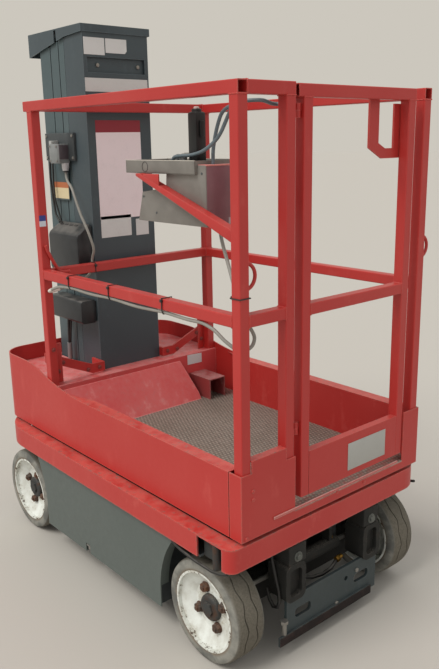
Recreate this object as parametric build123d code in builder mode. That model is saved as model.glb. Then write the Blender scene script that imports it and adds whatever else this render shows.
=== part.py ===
from build123d import *
import math
import os

os.makedirs("parts", exist_ok=True)

# Vertical mast lift, stowed. Millimetres: X points to the mast end, Y to the machine's left, Z up.
# The origin lies on the ground under the middle of the overall box.

# Running gaps
SLIDE_GAP = 0.5
PIN_GAP = 0.3
EYE_GAP = 0.8
BODY_GAP = 6.0
SEAT_GAP = 0.3

# Deck of the chassis: the red rim and the plate under it
REAR_X = -675.0
DECK_FRONT_X = 632.0
DECK_WIDTH = 800.0
DECK_BOTTOM = 335.0
DECK_TOP = 400.0
RIM_WALL = 5.0
RIM_FLANGE = 46.0
DECK_PLATE = 6.0
DECK_PLATE_INSET = 10.0
NEAR_REAR_RADIUS = 28.0
FAR_REAR_RADIUS = 90.0
DECK_FRONT_RADIUS = 185.0
POCKET_REAR_X = -641.0
POCKET_FAR_REAR_X = -583.0
POCKET_LENGTH = 97.0
POCKET_DEPTH = 30.0
POCKET_PIN_RADIUS = 11.0
POCKET_PIN_LENGTH = 76.0

# Wheels: solid tyres on dished rims
TYRE_RADIUS = 148.0
TYRE_WIDTH = 98.0
TYRE_SHOULDER = 12.0
RIM_RADIUS = 114.0
RIM_THICKNESS = 6.0
WHEEL_OUTER_Y = 373.0
REAR_WHEEL_X = -525.0
FRONT_WHEEL_X = 479.0
WHEEL_BORE = 16.0
HUB_RADIUS = 38.0
HUB_FACE_INSET = 22.0
HUB_DOME_RADIUS = 9.0
HUB_NUT_RADIUS = 20.0
HUB_NUT_DEPTH = 6.0
DISC_THICKNESS = 6.0
DISC_INSET = 42.0
DISC_FLAT_RADIUS = 68.0
DISH_EDGE_INSET = 13.0

# Tub between the wheels
TUB_BOTTOM = 80.0
TUB_FLOOR = 8.0
TUB_PLATE = 6.0
SPINE_HALF_WIDTH = 130.0
SPINE_PLATE = 8.0
TUB_EDGE_INSET = 28.0
TUB_HALF_WIDTH = DECK_WIDTH / 2 - TUB_EDGE_INSET
NOSE_HALF_WIDTH = 252.0
TUB_REAR_X = -338.0
TUB_FRONT_X = 306.0
NOSE_FRONT_X = 622.0
NECK_REAR_X = -558.0

# Side covers
COVER_STANDOFF = 13.0
COVER_OUTER_Y = TUB_HALF_WIDTH + COVER_STANDOFF
COVER_SHEET = 4.0
COVER_BOTTOM = 82.0
COVER_FRONT_X = 318.0
COVER_REAR_X = -352.0
COVER_FRONT_TOP_X = 360.0
COVER_REAR_TOP_X = -420.0
COVER_ARCH_Z = 190.0
COVER_NOTCH_X = 47.0
COVER_NOTCH_WIDTH = 26.0
COVER_NOTCH_HEIGHT = 30.0

# Steered axle at the entry end
BEAM_BOTTOM = 118.0
BEAM_TOP = 184.0
BEAM_DEPTH = 60.0
BEAM_WALL = 8.0
KINGPIN_Y = 288.0
KINGPIN_RADIUS = 10.0
BOSS_RADIUS = 26.0
BOSS_HALF_HEIGHT = 40.0
YOKE_THICKNESS = 10.0
YOKE_RADIUS = 24.0
YOKE_BACK_Y = 316.0
YOKE_BACK = 8.0
STEER_ARM = 60.0
STEER_PIN_RADIUS = 7.0
STEER_ROD_RADIUS = 7.0
STEER_BARREL_RADIUS = 20.0
STEER_BARREL_HALF = 95.0
STEER_EYE_TRAVEL = 4.0
STEER_EYE_SHIFT = 3.0
STEER_EYE_WALL = 6.0

# Entry-end plate and its cast brackets
ENTRY_PLATE_X = -655.0
ENTRY_PLATE_THICKNESS = 10.0
ENTRY_PLATE_HALF_WIDTH = 196.0
ENTRY_PLATE_BOTTOM = 52.0
ENTRY_PLATE_TOP = 150.0
ENTRY_BAR = 14.0
ENTRY_SLOT_LENGTH = 62.0
ENTRY_SLOT_HEIGHT = 20.0
BRACKET_Y = 165.0
BRACKET_WIDTH = 44.0
BRACKET_DEPTH = 44.0

# Mast: a fixed channel, two moving channels and the carriage
MAST_TOP = 1744.0
SECTION_WALL = 5.0
SECTION_SLOT = 110.0
TONGUE_HEIGHT = 420.0
TONGUE_HEAD_HALF = 90.0
TONGUE_HEAD = 9.0
CARRIAGE_REAR_X = 323.0
CARRIAGE_FRONT_X = 440.0
CARRIAGE_HALF = 128.0
CARRIAGE_BOTTOM = 124.0
CARRIAGE_WALL = 6.0
RECESS_DROP = 96.0
RECESS_HEIGHT = 48.0
RECESS_TOP = MAST_TOP - RECESS_DROP
RECESS_BOTTOM = RECESS_TOP - RECESS_HEIGHT
RECESS_DEPTH = 10.0
MAST_HALF = 126.0
THIRD_REAR_X = 446.0
THIRD_FRONT_X = 480.0
SECOND_REAR_X = 486.0
SECOND_FRONT_X = 536.0
BASE_REAR_X = 542.0
BASE_FRONT_X = 611.0
STAGE_STEP = 12.0
DECK_OPENING_HALF = 140.0
DECK_OPENING_REAR_X = 312.0
DECK_OPENING_FRONT_X = 613.0

# Cap on the carriage
CAP_HALF = 135.0
CAP_SHEET = 4.0
CAP_REAR_X = 318.0
CAP_FRONT_X = 675.0
CAP_REAR_SKIRT = 24.0
CAP_FRONT_SKIRT = 76.0
CAP_SLOT_X = 486.0
CAP_SLOT_WIDTH = 16.0

# Platform tray
TRAY_HALF = 361.0
TRAY_BOTTOM = 410.0
TRAY_FRONT_X = 635.0
TRAY_FRONT_RADIUS = 85.0
TRAY_SHEET = 4.0
FLOOR_TOP = 437.0
FLOOR_SHEET = 4.0
WALL_TOP = 588.0
WALL_FLANGE = 39.0
SCOOP_TOP = 647.0
SCOOP_START_X = 60.0
SCOOP_END_X = 450.0
SCOOP_SHAPE = ((0.374, 0.20), (0.613, 0.525), (0.803, 0.88))
SEAM_X = -630.0
SEAM_GAP = 3.0
RISER_X = 262.0
LEDGE_SHEET = 3.0
LEDGE_OPENING_HALF = 133.0
LEDGE_OPENING_FRONT_X = 620.0
SLOPE_FOOT_X = 172.0
SLOPE_TOP_Z = 572.0
SLOPE_RIGHT_TOP_Y = -175.0
SLOPE_RIGHT_FOOT_Y = -205.0
FLOOR_BEAM_Y = 95.0
FLOOR_BEAM_WIDTH = 40.0
FLOOR_CHANNEL_FIRST_X = -600.0
FLOOR_CHANNEL_PITCH = 300.0

GUARD_REAR_X = 140.0
GUARD_CENTRE_Y = -259.0
GUARD_WIDTH = 74.0
GUARD_TOP = 514.0
GUARD_SHEET = 4.0

# Railing of square tube
TUBE = 30.0
TUBE_WALL = 2.5
TUBE_CORNER = 3.0
RAIL_HALF = 355.0
RAIL_TOP = 1503.0
MID_RAIL_TOP = 983.0
FRONT_POST_X = 300.0
TOP_RAIL_FRONT_X = 320.0
FIXED_POST_Y = 175.0
ARM_OUTER_TOP = 700.0
ARM_BOTTOM = 592.0
ARM_DEPTH = 34.0
ARM_THICKNESS = 6.0
ARM_LUG = 8.0
RING_RADIUS = 31.0
RING_WIRE = 4.5
RING_Z = 1072.0
REAR_PANEL_TOP = 620.0
REAR_PANEL_LEDGE = 24.0
DOOR_RIGHT_Y = -288.0

# Gate
GATE_AXIS_Y = 156.0
GATE_POST_Y = 147.0
GATE_LATCH_Y = -286.0
GATE_RAIL_TOP = 1500.0
GATE_MID_TOP = 980.0
GATE_BOTTOM = 462.0
GATE_PANEL_TOP = 585.0
GATE_PANEL_LEDGE = 22.0
HINGE_RADIUS = 8.0
HINGE_PIN_RADIUS = 5.0
HINGE_HEIGHT = 16.0
HINGE_LUG = 8.0
HINGE_LOW_Z = 656.0
HINGE_HIGH_Z = 1440.0
LATCH_BAR = 40.0
LATCH_SHEET = 5.0
LATCH_BOTTOM = 1322.0
LATCH_HANGER_Y = -129.0
LATCH_BEND_RISE = 40.0
LATCH_CORNER = 28.0
LATCH_FOOT = 26.0
LATCH_CHANNEL_Y = -232.0
LATCH_CHANNEL_HEIGHT = 140.0

# Console at the left rail
BRACE = 25.0
BRACE_DEPTH = 26.0
BRACE_OUTER_Y = 322.0
BRACE_INNER_Y = 190.0
BRACE_LOW_Z = 1164.0
BRACE_HIGH_Z = 1297.0
BRACE_FRONT_X = -185.0
CASE_REAR_X = -632.0
CASE_FRONT_X = -205.0
CASE_BOTTOM_Z = 1172.0
CASE_TOP_Z = 1320.0
CONSOLE_STEP_X = -474.0
CONSOLE_TRAY_FRONT_X = -215.0
CONSOLE_TRAY_OUTER_Y = 318.0
CONSOLE_TRAY_TOP_Z = 1330.0
CONSOLE_SHEET = 3.0
CONTROL_REAR_X = -535.0
CONTROL_DEPTH = 56.0
CONTROL_Y = 250.0
CONTROL_WIDTH = 56.0
CONTROL_HEIGHT = 135.0
CONTROL_TOP_Z = CASE_TOP_Z + CONTROL_HEIGHT

PLATE_BOTTOM = DECK_BOTTOM - DECK_PLATE
POST_REAR_X = REAR_X + LEDGE_SHEET + SEAT_GAP
BRACE_REAR_X = POST_REAR_X + TUBE + SEAT_GAP


def block(x0, x1, y0, y1, z0, z1, mode=Mode.ADD):
    """Adds or cuts a box between the given limits."""
    with Locations(((x0 + x1) / 2, (y0 + y1) / 2, (z0 + z1) / 2)):
        Box(x1 - x0, y1 - y0, z1 - z0, mode=mode)


def square_tube(start, end, size=TUBE, wall=TUBE_WALL, up=(0, 0, 1)):
    """Adds a hollow square tube from start to end, a seat gap short at both ends."""
    run = Vector(end) - Vector(start)
    direction = run.normalized()
    side = direction.cross(Vector(up))
    if side.length < 0.1:
        side = Vector(1, 0, 0)
    with BuildSketch(Plane(origin=Vector(start) + direction * SEAT_GAP, x_dir=side, z_dir=run)) as section:
        RectangleRounded(size, size, TUBE_CORNER)
        Rectangle(size - 2 * wall, size - 2 * wall, mode=Mode.SUBTRACT)
    extrude(section.sketch, amount=run.length - 2 * SEAT_GAP)


def deck_plan(inset):
    """Plan of the deck, drawn inset from its edge: the corners differ."""
    length = DECK_FRONT_X - REAR_X - 2 * inset
    with BuildSketch(mode=Mode.PRIVATE) as plan:
        with Locations(((DECK_FRONT_X + REAR_X) / 2, 0)):
            Rectangle(length, DECK_WIDTH - 2 * inset)
        rear = plan.vertices().group_by(Axis.X)[0].sort_by(Axis.Y)
        fillet(rear[-1], NEAR_REAR_RADIUS - min(inset, NEAR_REAR_RADIUS - 2))
        rear = plan.vertices().sort_by(Axis.X).sort_by(Axis.Y)[:2].sort_by(Axis.X)
        fillet(rear[0], FAR_REAR_RADIUS - inset)
        front = plan.vertices().group_by(Axis.X)[-1]
        fillet(front, DECK_FRONT_RADIUS - inset)
    return plan.sketch


def tray_plan(inset):
    """Plan of the tray wall: square at the rear, rounded at the front."""
    length = TRAY_FRONT_X - REAR_X - 2 * inset
    with BuildSketch(mode=Mode.PRIVATE) as plan:
        with Locations(((TRAY_FRONT_X + REAR_X) / 2, 0)):
            Rectangle(length, 2 * (TRAY_HALF - inset))
        fillet(plan.vertices().group_by(Axis.X)[-1], TRAY_FRONT_RADIUS - inset)
    return plan.sketch


# Pockets in the deck rim: side, rear end
pocket_table = ((1, POCKET_REAR_X), (-1, POCKET_FAR_REAR_X))

# Chassis frame: deck plate, tub with its floor, spine, bulkheads and nose
with BuildPart() as chassis_frame:
    with BuildSketch(Plane.XY.offset(PLATE_BOTTOM)):
        add(deck_plan(DECK_PLATE_INSET))
        with Locations(((DECK_OPENING_REAR_X + DECK_OPENING_FRONT_X) / 2, 0)):
            Rectangle(DECK_OPENING_FRONT_X - DECK_OPENING_REAR_X, 2 * DECK_OPENING_HALF, mode=Mode.SUBTRACT)
        for side, pocket_x in pocket_table:
            with Locations((pocket_x + POCKET_LENGTH / 2, side * DECK_WIDTH / 2)):
                Rectangle(POCKET_LENGTH, 2 * POCKET_DEPTH, mode=Mode.SUBTRACT)
    extrude(amount=DECK_PLATE)
    floor_top = TUB_BOTTOM + TUB_FLOOR
    block(TUB_REAR_X, TUB_FRONT_X, -TUB_HALF_WIDTH, TUB_HALF_WIDTH, TUB_BOTTOM, floor_top)
    block(TUB_FRONT_X, NOSE_FRONT_X, -NOSE_HALF_WIDTH, NOSE_HALF_WIDTH, TUB_BOTTOM, floor_top)
    for bulkhead_x in (TUB_REAR_X, TUB_FRONT_X - TUB_PLATE):
        block(bulkhead_x, bulkhead_x + TUB_PLATE, -TUB_HALF_WIDTH, TUB_HALF_WIDTH, floor_top, PLATE_BOTTOM)
    block(NOSE_FRONT_X - TUB_PLATE, NOSE_FRONT_X, -NOSE_HALF_WIDTH, NOSE_HALF_WIDTH, floor_top, PLATE_BOTTOM)
    for side in (-1, 1):
        spine_y = sorted((side * (SPINE_HALF_WIDTH - SPINE_PLATE), side * SPINE_HALF_WIDTH))
        nose_y = sorted((side * (NOSE_HALF_WIDTH - SPINE_PLATE), side * NOSE_HALF_WIDTH))
        block(TUB_REAR_X, TUB_FRONT_X, *spine_y, floor_top, PLATE_BOTTOM)
        block(NECK_REAR_X, TUB_REAR_X, *spine_y, BEAM_TOP, PLATE_BOTTOM)
        block(TUB_FRONT_X, NOSE_FRONT_X, *nose_y, floor_top, PLATE_BOTTOM)
chassis_frame.part.label = "chassis_frame"
export_step(chassis_frame.part, "parts/chassis_frame.step")

# Deck rim: the red folded edge round the deck, with a pocket near each rear corner
with BuildPart() as deck_rim:
    with BuildSketch(Plane.XY.offset(DECK_BOTTOM)):
        add(deck_plan(0))
        add(deck_plan(RIM_WALL), mode=Mode.SUBTRACT)
    extrude(amount=DECK_TOP - DECK_BOTTOM)
    with BuildSketch(Plane.XY.offset(DECK_TOP - RIM_WALL)):
        add(deck_plan(0))
        add(deck_plan(RIM_FLANGE), mode=Mode.SUBTRACT)
    extrude(amount=RIM_WALL)
    for side, pocket_x in pocket_table:
        outer = side * DECK_WIDTH / 2
        inner = outer - side * 2 * RIM_WALL
        block(pocket_x, pocket_x + POCKET_LENGTH, *sorted((inner, outer)), DECK_BOTTOM, DECK_TOP - RIM_WALL,
              mode=Mode.SUBTRACT)
    block(DECK_OPENING_REAR_X, DECK_OPENING_FRONT_X, -DECK_OPENING_HALF, DECK_OPENING_HALF,
          DECK_BOTTOM, DECK_TOP, mode=Mode.SUBTRACT)
deck_rim.part.label = "deck_rim"
export_step(deck_rim.part, "parts/deck_rim.step")

# Lock pins: an upright pin on a bracket in each pocket of the rim
with BuildPart() as lock_pins:
    for side, pocket_x in pocket_table:
        pin_x = pocket_x + POCKET_LENGTH / 2 - 12
        pocket_back = side * (DECK_WIDTH / 2 - POCKET_DEPTH + SEAT_GAP)
        pin_y = side * (DECK_WIDTH / 2 - POCKET_PIN_RADIUS - RIM_WALL)
        plate = sorted((pocket_back, pocket_back + side * RIM_WALL))
        block(pocket_x + SEAT_GAP, pocket_x + POCKET_LENGTH - SEAT_GAP, *plate,
              PLATE_BOTTOM, DECK_TOP - RIM_WALL)
        pin_base = DECK_TOP - RIM_WALL - POCKET_PIN_LENGTH
        with Locations((pin_x, pin_y, pin_base)):
            Cylinder(POCKET_PIN_RADIUS, POCKET_PIN_LENGTH, align=(Align.CENTER, Align.CENTER, Align.MIN))
        lug = sorted((pocket_back, pin_y))
        block(pin_x - 6, pin_x + 6, *lug, DECK_BOTTOM + 10, DECK_TOP - RIM_WALL - 10)
lock_pins.part.label = "lock_pins"
export_step(lock_pins.part, "parts/lock_pins.step")

# Side covers: grey sheets with an arch at each wheel and a latch notch below
for name, side in (("left", 1), ("right", -1)):
    with BuildPart() as side_cover:
        with BuildSketch(Plane.XZ.offset(-side * COVER_OUTER_Y)):
            with BuildLine():
                Polyline(
                    (COVER_REAR_X, COVER_BOTTOM),
                    (COVER_FRONT_X, COVER_BOTTOM),
                    (COVER_FRONT_X, COVER_ARCH_Z),
                    (COVER_FRONT_TOP_X, PLATE_BOTTOM),
                    (COVER_REAR_TOP_X, PLATE_BOTTOM),
                    (COVER_REAR_X, COVER_ARCH_Z),
                    close=True,
                )
            make_face()
            with Locations((COVER_NOTCH_X, COVER_BOTTOM + COVER_NOTCH_HEIGHT / 2)):
                Rectangle(COVER_NOTCH_WIDTH, COVER_NOTCH_HEIGHT, mode=Mode.SUBTRACT)
        extrude(amount=side * COVER_SHEET)
        tub_edge = side * TUB_HALF_WIDTH
        sheet_back = side * (COVER_OUTER_Y - COVER_SHEET)
        fold = sorted((tub_edge, sheet_back))
        for fold_x0, fold_x1 in ((TUB_REAR_X, COVER_NOTCH_X - COVER_NOTCH_WIDTH / 2),
                                 (COVER_NOTCH_X + COVER_NOTCH_WIDTH / 2, TUB_FRONT_X)):
            block(fold_x0, fold_x1, *fold, COVER_BOTTOM, COVER_BOTTOM + COVER_SHEET)
        block(TUB_REAR_X, TUB_FRONT_X, *fold, PLATE_BOTTOM - COVER_SHEET, PLATE_BOTTOM)
    side_cover.part.label = f"side_cover_{name}"
    export_step(side_cover.part, f"parts/side_cover_{name}.step")

# Battery packs: one plain block on each side of the spine
with BuildPart() as battery_pack:
    for side in (-1, 1):
        pack_y = sorted((side * (SPINE_HALF_WIDTH + 2), side * (TUB_HALF_WIDTH - 4)))
        block(TUB_REAR_X + 12, TUB_FRONT_X - 12, *pack_y, floor_top, floor_top + 226)
battery_pack.part.label = "battery_pack"
export_step(battery_pack.part, "parts/battery_pack.step")

# Front spindles on the nose plates
with BuildPart() as front_spindles:
    for side in (-1, 1):
        nose_face = (FRONT_WHEEL_X, side * NOSE_HALF_WIDTH, TYRE_RADIUS)
        with BuildSketch(Plane(origin=nose_face, z_dir=(0, side, 0))):
            Circle(50)
        extrude(amount=10)
        with BuildSketch(Plane(origin=(FRONT_WHEEL_X, side * (NOSE_HALF_WIDTH + 10), TYRE_RADIUS),
                               z_dir=(0, side, 0))):
            Circle(WHEEL_BORE - PIN_GAP)
        extrude(amount=WHEEL_OUTER_Y - HUB_FACE_INSET - NOSE_HALF_WIDTH - 10)
front_spindles.part.label = "front_spindles"
export_step(front_spindles.part, "parts/front_spindles.step")

# Rear axle: a box beam with an upright kingpin boss at each end
with BuildPart() as rear_axle:
    beam_end = KINGPIN_Y - BOSS_RADIUS + 8
    with BuildSketch(Plane.XZ.offset(-beam_end)):
        with Locations((REAR_WHEEL_X, (BEAM_BOTTOM + BEAM_TOP) / 2)):
            Rectangle(BEAM_DEPTH, BEAM_TOP - BEAM_BOTTOM)
            Rectangle(BEAM_DEPTH - 2 * BEAM_WALL, BEAM_TOP - BEAM_BOTTOM - 2 * BEAM_WALL, mode=Mode.SUBTRACT)
    extrude(amount=2 * beam_end)
    boss_places = [(REAR_WHEEL_X, side * KINGPIN_Y, TYRE_RADIUS) for side in (-1, 1)]
    with Locations(*boss_places):
        Cylinder(BOSS_RADIUS, 2 * BOSS_HALF_HEIGHT)
        Cylinder(KINGPIN_RADIUS + PIN_GAP, 2 * BOSS_HALF_HEIGHT, mode=Mode.SUBTRACT)
rear_axle.part.label = "rear_axle"
export_step(rear_axle.part, "parts/rear_axle.step")

# Steering knuckles: a yoke round the boss, its kingpin, the wheel spindle and the steering arm
yoke_bottom = TYRE_RADIUS - BOSS_HALF_HEIGHT - SLIDE_GAP - YOKE_THICKNESS
yoke_top = TYRE_RADIUS + BOSS_HALF_HEIGHT + SLIDE_GAP
arm_x = REAR_WHEEL_X - STEER_ARM
for name, side in (("left", 1), ("right", -1)):
    with BuildPart() as knuckle:
        for ear_z in (yoke_bottom, yoke_top):
            with BuildSketch(Plane.XY.offset(ear_z)):
                with Locations((REAR_WHEEL_X, side * KINGPIN_Y)):
                    Circle(YOKE_RADIUS)
                with Locations((REAR_WHEEL_X, side * (KINGPIN_Y + YOKE_BACK_Y + YOKE_BACK) / 2)):
                    Rectangle(2 * YOKE_RADIUS, YOKE_BACK_Y + YOKE_BACK - KINGPIN_Y)
            extrude(amount=YOKE_THICKNESS)
        with BuildSketch(Plane.XY.offset(yoke_top)):
            with Locations(((REAR_WHEEL_X + arm_x) / 2, side * KINGPIN_Y)):
                SlotCenterToCenter(STEER_ARM, 2 * YOKE_RADIUS - 20)
        extrude(amount=YOKE_THICKNESS)
        back = sorted((side * YOKE_BACK_Y, side * (YOKE_BACK_Y + YOKE_BACK)))
        block(REAR_WHEEL_X - YOKE_RADIUS, REAR_WHEEL_X + YOKE_RADIUS, *back,
              yoke_bottom, yoke_top + YOKE_THICKNESS)
        with Locations((REAR_WHEEL_X, side * KINGPIN_Y, TYRE_RADIUS)):
            Cylinder(KINGPIN_RADIUS, 2 * BOSS_HALF_HEIGHT + 2 * YOKE_THICKNESS)
        with Locations((arm_x, side * KINGPIN_Y, yoke_top + YOKE_THICKNESS)):
            Cylinder(STEER_PIN_RADIUS, 18, align=(Align.CENTER, Align.CENTER, Align.MIN))
        spindle_plane = Plane(origin=(REAR_WHEEL_X, side * (YOKE_BACK_Y + YOKE_BACK), TYRE_RADIUS),
                              z_dir=(0, side, 0))
        with BuildSketch(spindle_plane):
            Circle(WHEEL_BORE - PIN_GAP)
        extrude(amount=WHEEL_OUTER_Y - HUB_FACE_INSET - YOKE_BACK_Y - YOKE_BACK)
    knuckle.part.label = f"knuckle_{name}"
    export_step(knuckle.part, f"parts/knuckle_{name}.step")

# Steering cylinder: a barrel across the frame, hung from the deck plate, with a hose fitting
rod_z = yoke_top + YOKE_THICKNESS + 9
with BuildPart() as steer_cylinder:
    with BuildSketch(Plane.XZ.offset(-STEER_BARREL_HALF)):
        with Locations((arm_x, rod_z)):
            Circle(STEER_BARREL_RADIUS)
            Circle(STEER_ROD_RADIUS + PIN_GAP, mode=Mode.SUBTRACT)
    extrude(amount=2 * STEER_BARREL_HALF)
    for lug_y in (-60, 60):
        block(arm_x - 14, arm_x + 14, lug_y - 6, lug_y + 6, rod_z + STEER_BARREL_RADIUS - 3, PLATE_BOTTOM)
steer_cylinder.part.label = "steer_cylinder"
export_step(steer_cylinder.part, "parts/steer_cylinder.step")

# Steering rod: runs through the barrel, with a slotted eye over each steering pin
with BuildPart() as steer_rod:
    eye_reach = KINGPIN_Y - STEER_PIN_RADIUS - PIN_GAP - 1
    with BuildSketch(Plane.XZ.offset(-eye_reach)):
        with Locations((arm_x, rod_z)):
            Circle(STEER_ROD_RADIUS)
    extrude(amount=2 * eye_reach)
    for side in (-1, 1):
        with BuildSketch(Plane.XY.offset(rod_z - STEER_ROD_RADIUS + 1)):
            with Locations((arm_x + STEER_EYE_SHIFT, side * KINGPIN_Y)):
                eye_inside = STEER_PIN_RADIUS + EYE_GAP
                eye_outside = STEER_PIN_RADIUS + STEER_EYE_WALL
                SlotOverall(2 * (STEER_EYE_TRAVEL + eye_outside), 2 * eye_outside)
                SlotOverall(2 * (STEER_EYE_TRAVEL + eye_inside), 2 * eye_inside, mode=Mode.SUBTRACT)
        extrude(amount=2 * STEER_ROD_RADIUS - 2)
steer_rod.part.label = "steer_rod"
export_step(steer_rod.part, "parts/steer_rod.step")

# Entry-end plate with two lashing slots, the bar along its foot and its two cast brackets
with BuildPart() as entry_plate:
    with BuildSketch(Plane.YZ.offset(ENTRY_PLATE_X)):
        with Locations((0, (ENTRY_PLATE_BOTTOM + ENTRY_PLATE_TOP) / 2)):
            Rectangle(2 * ENTRY_PLATE_HALF_WIDTH, ENTRY_PLATE_TOP - ENTRY_PLATE_BOTTOM)
        slot_z = ENTRY_PLATE_BOTTOM + 36
        with Locations((-130, slot_z), (130, slot_z)):
            SlotOverall(ENTRY_SLOT_LENGTH, ENTRY_SLOT_HEIGHT, mode=Mode.SUBTRACT)
        with Locations((-58, slot_z + 6)):
            Circle(8, mode=Mode.SUBTRACT)
    extrude(amount=ENTRY_PLATE_THICKNESS)
    block(ENTRY_PLATE_X - 6, ENTRY_PLATE_X, -ENTRY_PLATE_HALF_WIDTH, ENTRY_PLATE_HALF_WIDTH,
          ENTRY_PLATE_BOTTOM, ENTRY_PLATE_BOTTOM + ENTRY_BAR)
    bracket_x = ENTRY_PLATE_X + ENTRY_PLATE_THICKNESS
    for side in (-1, 1):
        bracket_y = sorted((side * (BRACKET_Y - BRACKET_WIDTH / 2), side * (BRACKET_Y + BRACKET_WIDTH / 2)))
        block(bracket_x, bracket_x + BRACKET_DEPTH, *bracket_y, ENTRY_PLATE_TOP - 40, PLATE_BOTTOM)
entry_plate.part.label = "entry_plate"
export_step(entry_plate.part, "parts/entry_plate.step")

# Wheels: tyre, dished rim and cast hub, the same at all four corners
wheel_table = (
    # corner, axle x, side
    ("front_left", FRONT_WHEEL_X, 1),
    ("front_right", FRONT_WHEEL_X, -1),
    ("rear_left", REAR_WHEEL_X, 1),
    ("rear_right", REAR_WHEEL_X, -1),
)
for corner, axle_x, side in wheel_table:
    # The section is drawn outward along the axle from the inner face of the tyre
    inner_y = WHEEL_OUTER_Y - TYRE_WIDTH
    section = Plane(origin=(axle_x, side * inner_y, TYRE_RADIUS), x_dir=(0, side, 0), z_dir=(side, 0, 0))
    axle = Axis((axle_x, 0, TYRE_RADIUS), (0, 1, 0))
    with BuildPart() as tyre:
        with BuildSketch(section):
            with BuildLine():
                Polyline(
                    (2, RIM_RADIUS),
                    (TYRE_WIDTH - 2, RIM_RADIUS),
                    (TYRE_WIDTH, RIM_RADIUS + 8),
                    (TYRE_WIDTH - 1, TYRE_RADIUS - TYRE_SHOULDER),
                    (TYRE_WIDTH - TYRE_SHOULDER, TYRE_RADIUS - 2),
                    (TYRE_WIDTH / 2, TYRE_RADIUS),
                    (TYRE_SHOULDER, TYRE_RADIUS - 2),
                    (1, TYRE_RADIUS - TYRE_SHOULDER),
                    (0, RIM_RADIUS + 8),
                    close=True,
                )
            make_face()
        revolve(axis=axle)
    tyre.part.label = f"tyre_{corner}"
    export_step(tyre.part, f"parts/tyre_{corner}.step")

    disc_out = TYRE_WIDTH - DISC_INSET
    dish_edge = TYRE_WIDTH - DISH_EDGE_INSET
    with BuildPart() as rim:
        with BuildSketch(section):
            with BuildLine():
                Polyline(
                    (2, RIM_RADIUS),
                    (2, RIM_RADIUS - RIM_THICKNESS),
                    (dish_edge - DISC_THICKNESS, RIM_RADIUS - RIM_THICKNESS),
                    (disc_out, DISC_FLAT_RADIUS),
                    (disc_out, WHEEL_BORE),
                    (disc_out + DISC_THICKNESS, WHEEL_BORE),
                    (disc_out + DISC_THICKNESS, DISC_FLAT_RADIUS),
                    (dish_edge, RIM_RADIUS - RIM_THICKNESS),
                    (TYRE_WIDTH - 2, RIM_RADIUS - RIM_THICKNESS),
                    (TYRE_WIDTH - 2, RIM_RADIUS),
                    close=True,
                )
            make_face()
        revolve(axis=axle)
    rim.part.label = f"rim_{corner}"
    export_step(rim.part, f"parts/rim_{corner}.step")

    hub_start = disc_out + DISC_THICKNESS
    hub_face = TYRE_WIDTH - HUB_FACE_INSET
    nut_origin = (axle_x, side * (inner_y + hub_face), TYRE_RADIUS)
    nut_plane = Plane(origin=nut_origin, x_dir=(1, 0, 0), z_dir=(0, side, 0))
    with BuildPart() as hub:
        with BuildSketch(section):
            with BuildLine():
                Line((hub_start, WHEEL_BORE), (hub_start, HUB_RADIUS))
                Line((hub_start, HUB_RADIUS), (hub_face - HUB_DOME_RADIUS, HUB_RADIUS))
                RadiusArc((hub_face - HUB_DOME_RADIUS, HUB_RADIUS), (hub_face, HUB_RADIUS - HUB_DOME_RADIUS),
                          HUB_DOME_RADIUS)
                Line((hub_face, HUB_RADIUS - HUB_DOME_RADIUS), (hub_face, WHEEL_BORE))
                Line((hub_face, WHEEL_BORE), (hub_start, WHEEL_BORE))
            make_face()
        revolve(axis=axle)
        with BuildSketch(nut_plane.offset(SEAT_GAP)):
            RegularPolygon(HUB_NUT_RADIUS, 6)
        extrude(amount=HUB_NUT_DEPTH)
        with BuildSketch(nut_plane):
            RegularPolygon(HUB_NUT_RADIUS, 6)
            Circle(WHEEL_BORE, mode=Mode.SUBTRACT)
        extrude(amount=SEAT_GAP)
    hub.part.label = f"hub_{corner}"
    export_step(hub.part, f"parts/hub_{corner}.step")

# Mast sections: channels open to the rear, each with a tongue that runs in the next one forward
section_table = (
    # name, rear face, front face, bottom, steps under the mast top, tongue
    ("mast_base", BASE_REAR_X, BASE_FRONT_X, TUB_BOTTOM + TUB_FLOOR, 4, False),
    ("mast_second", SECOND_REAR_X, SECOND_FRONT_X, CARRIAGE_BOTTOM - 2 * STAGE_STEP, 3, True),
    ("mast_third", THIRD_REAR_X, THIRD_FRONT_X, CARRIAGE_BOTTOM - STAGE_STEP, 2, True),
)


def tongue(front_x, bottom):
    """Adds the T-shaped slider that grips the slot of the section ahead."""
    slot_back = front_x + BODY_GAP + SECTION_WALL
    neck_half = SECTION_SLOT / 2 - SLIDE_GAP
    block(front_x, slot_back + SLIDE_GAP, -neck_half, neck_half, bottom, bottom + TONGUE_HEIGHT)
    block(slot_back + SLIDE_GAP, slot_back + SLIDE_GAP + TONGUE_HEAD, -TONGUE_HEAD_HALF, TONGUE_HEAD_HALF,
          bottom, bottom + TONGUE_HEIGHT)


for name, rear_x, front_x, bottom, steps, has_tongue in section_table:
    top = MAST_TOP - steps * STAGE_STEP
    with BuildPart() as mast_section:
        with BuildSketch(Plane.XY.offset(bottom)):
            with Locations(((rear_x + front_x) / 2, 0)):
                Rectangle(front_x - rear_x, 2 * MAST_HALF)
                Rectangle(front_x - rear_x - 2 * SECTION_WALL, 2 * (MAST_HALF - SECTION_WALL),
                          mode=Mode.SUBTRACT)
            with Locations((rear_x + SECTION_WALL / 2, 0)):
                Rectangle(SECTION_WALL, SECTION_SLOT, mode=Mode.SUBTRACT)
        extrude(amount=top - bottom)
        if has_tongue:
            tongue(front_x, bottom)
    mast_section.part.label = name
    export_step(mast_section.part, f"parts/{name}.step")

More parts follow.
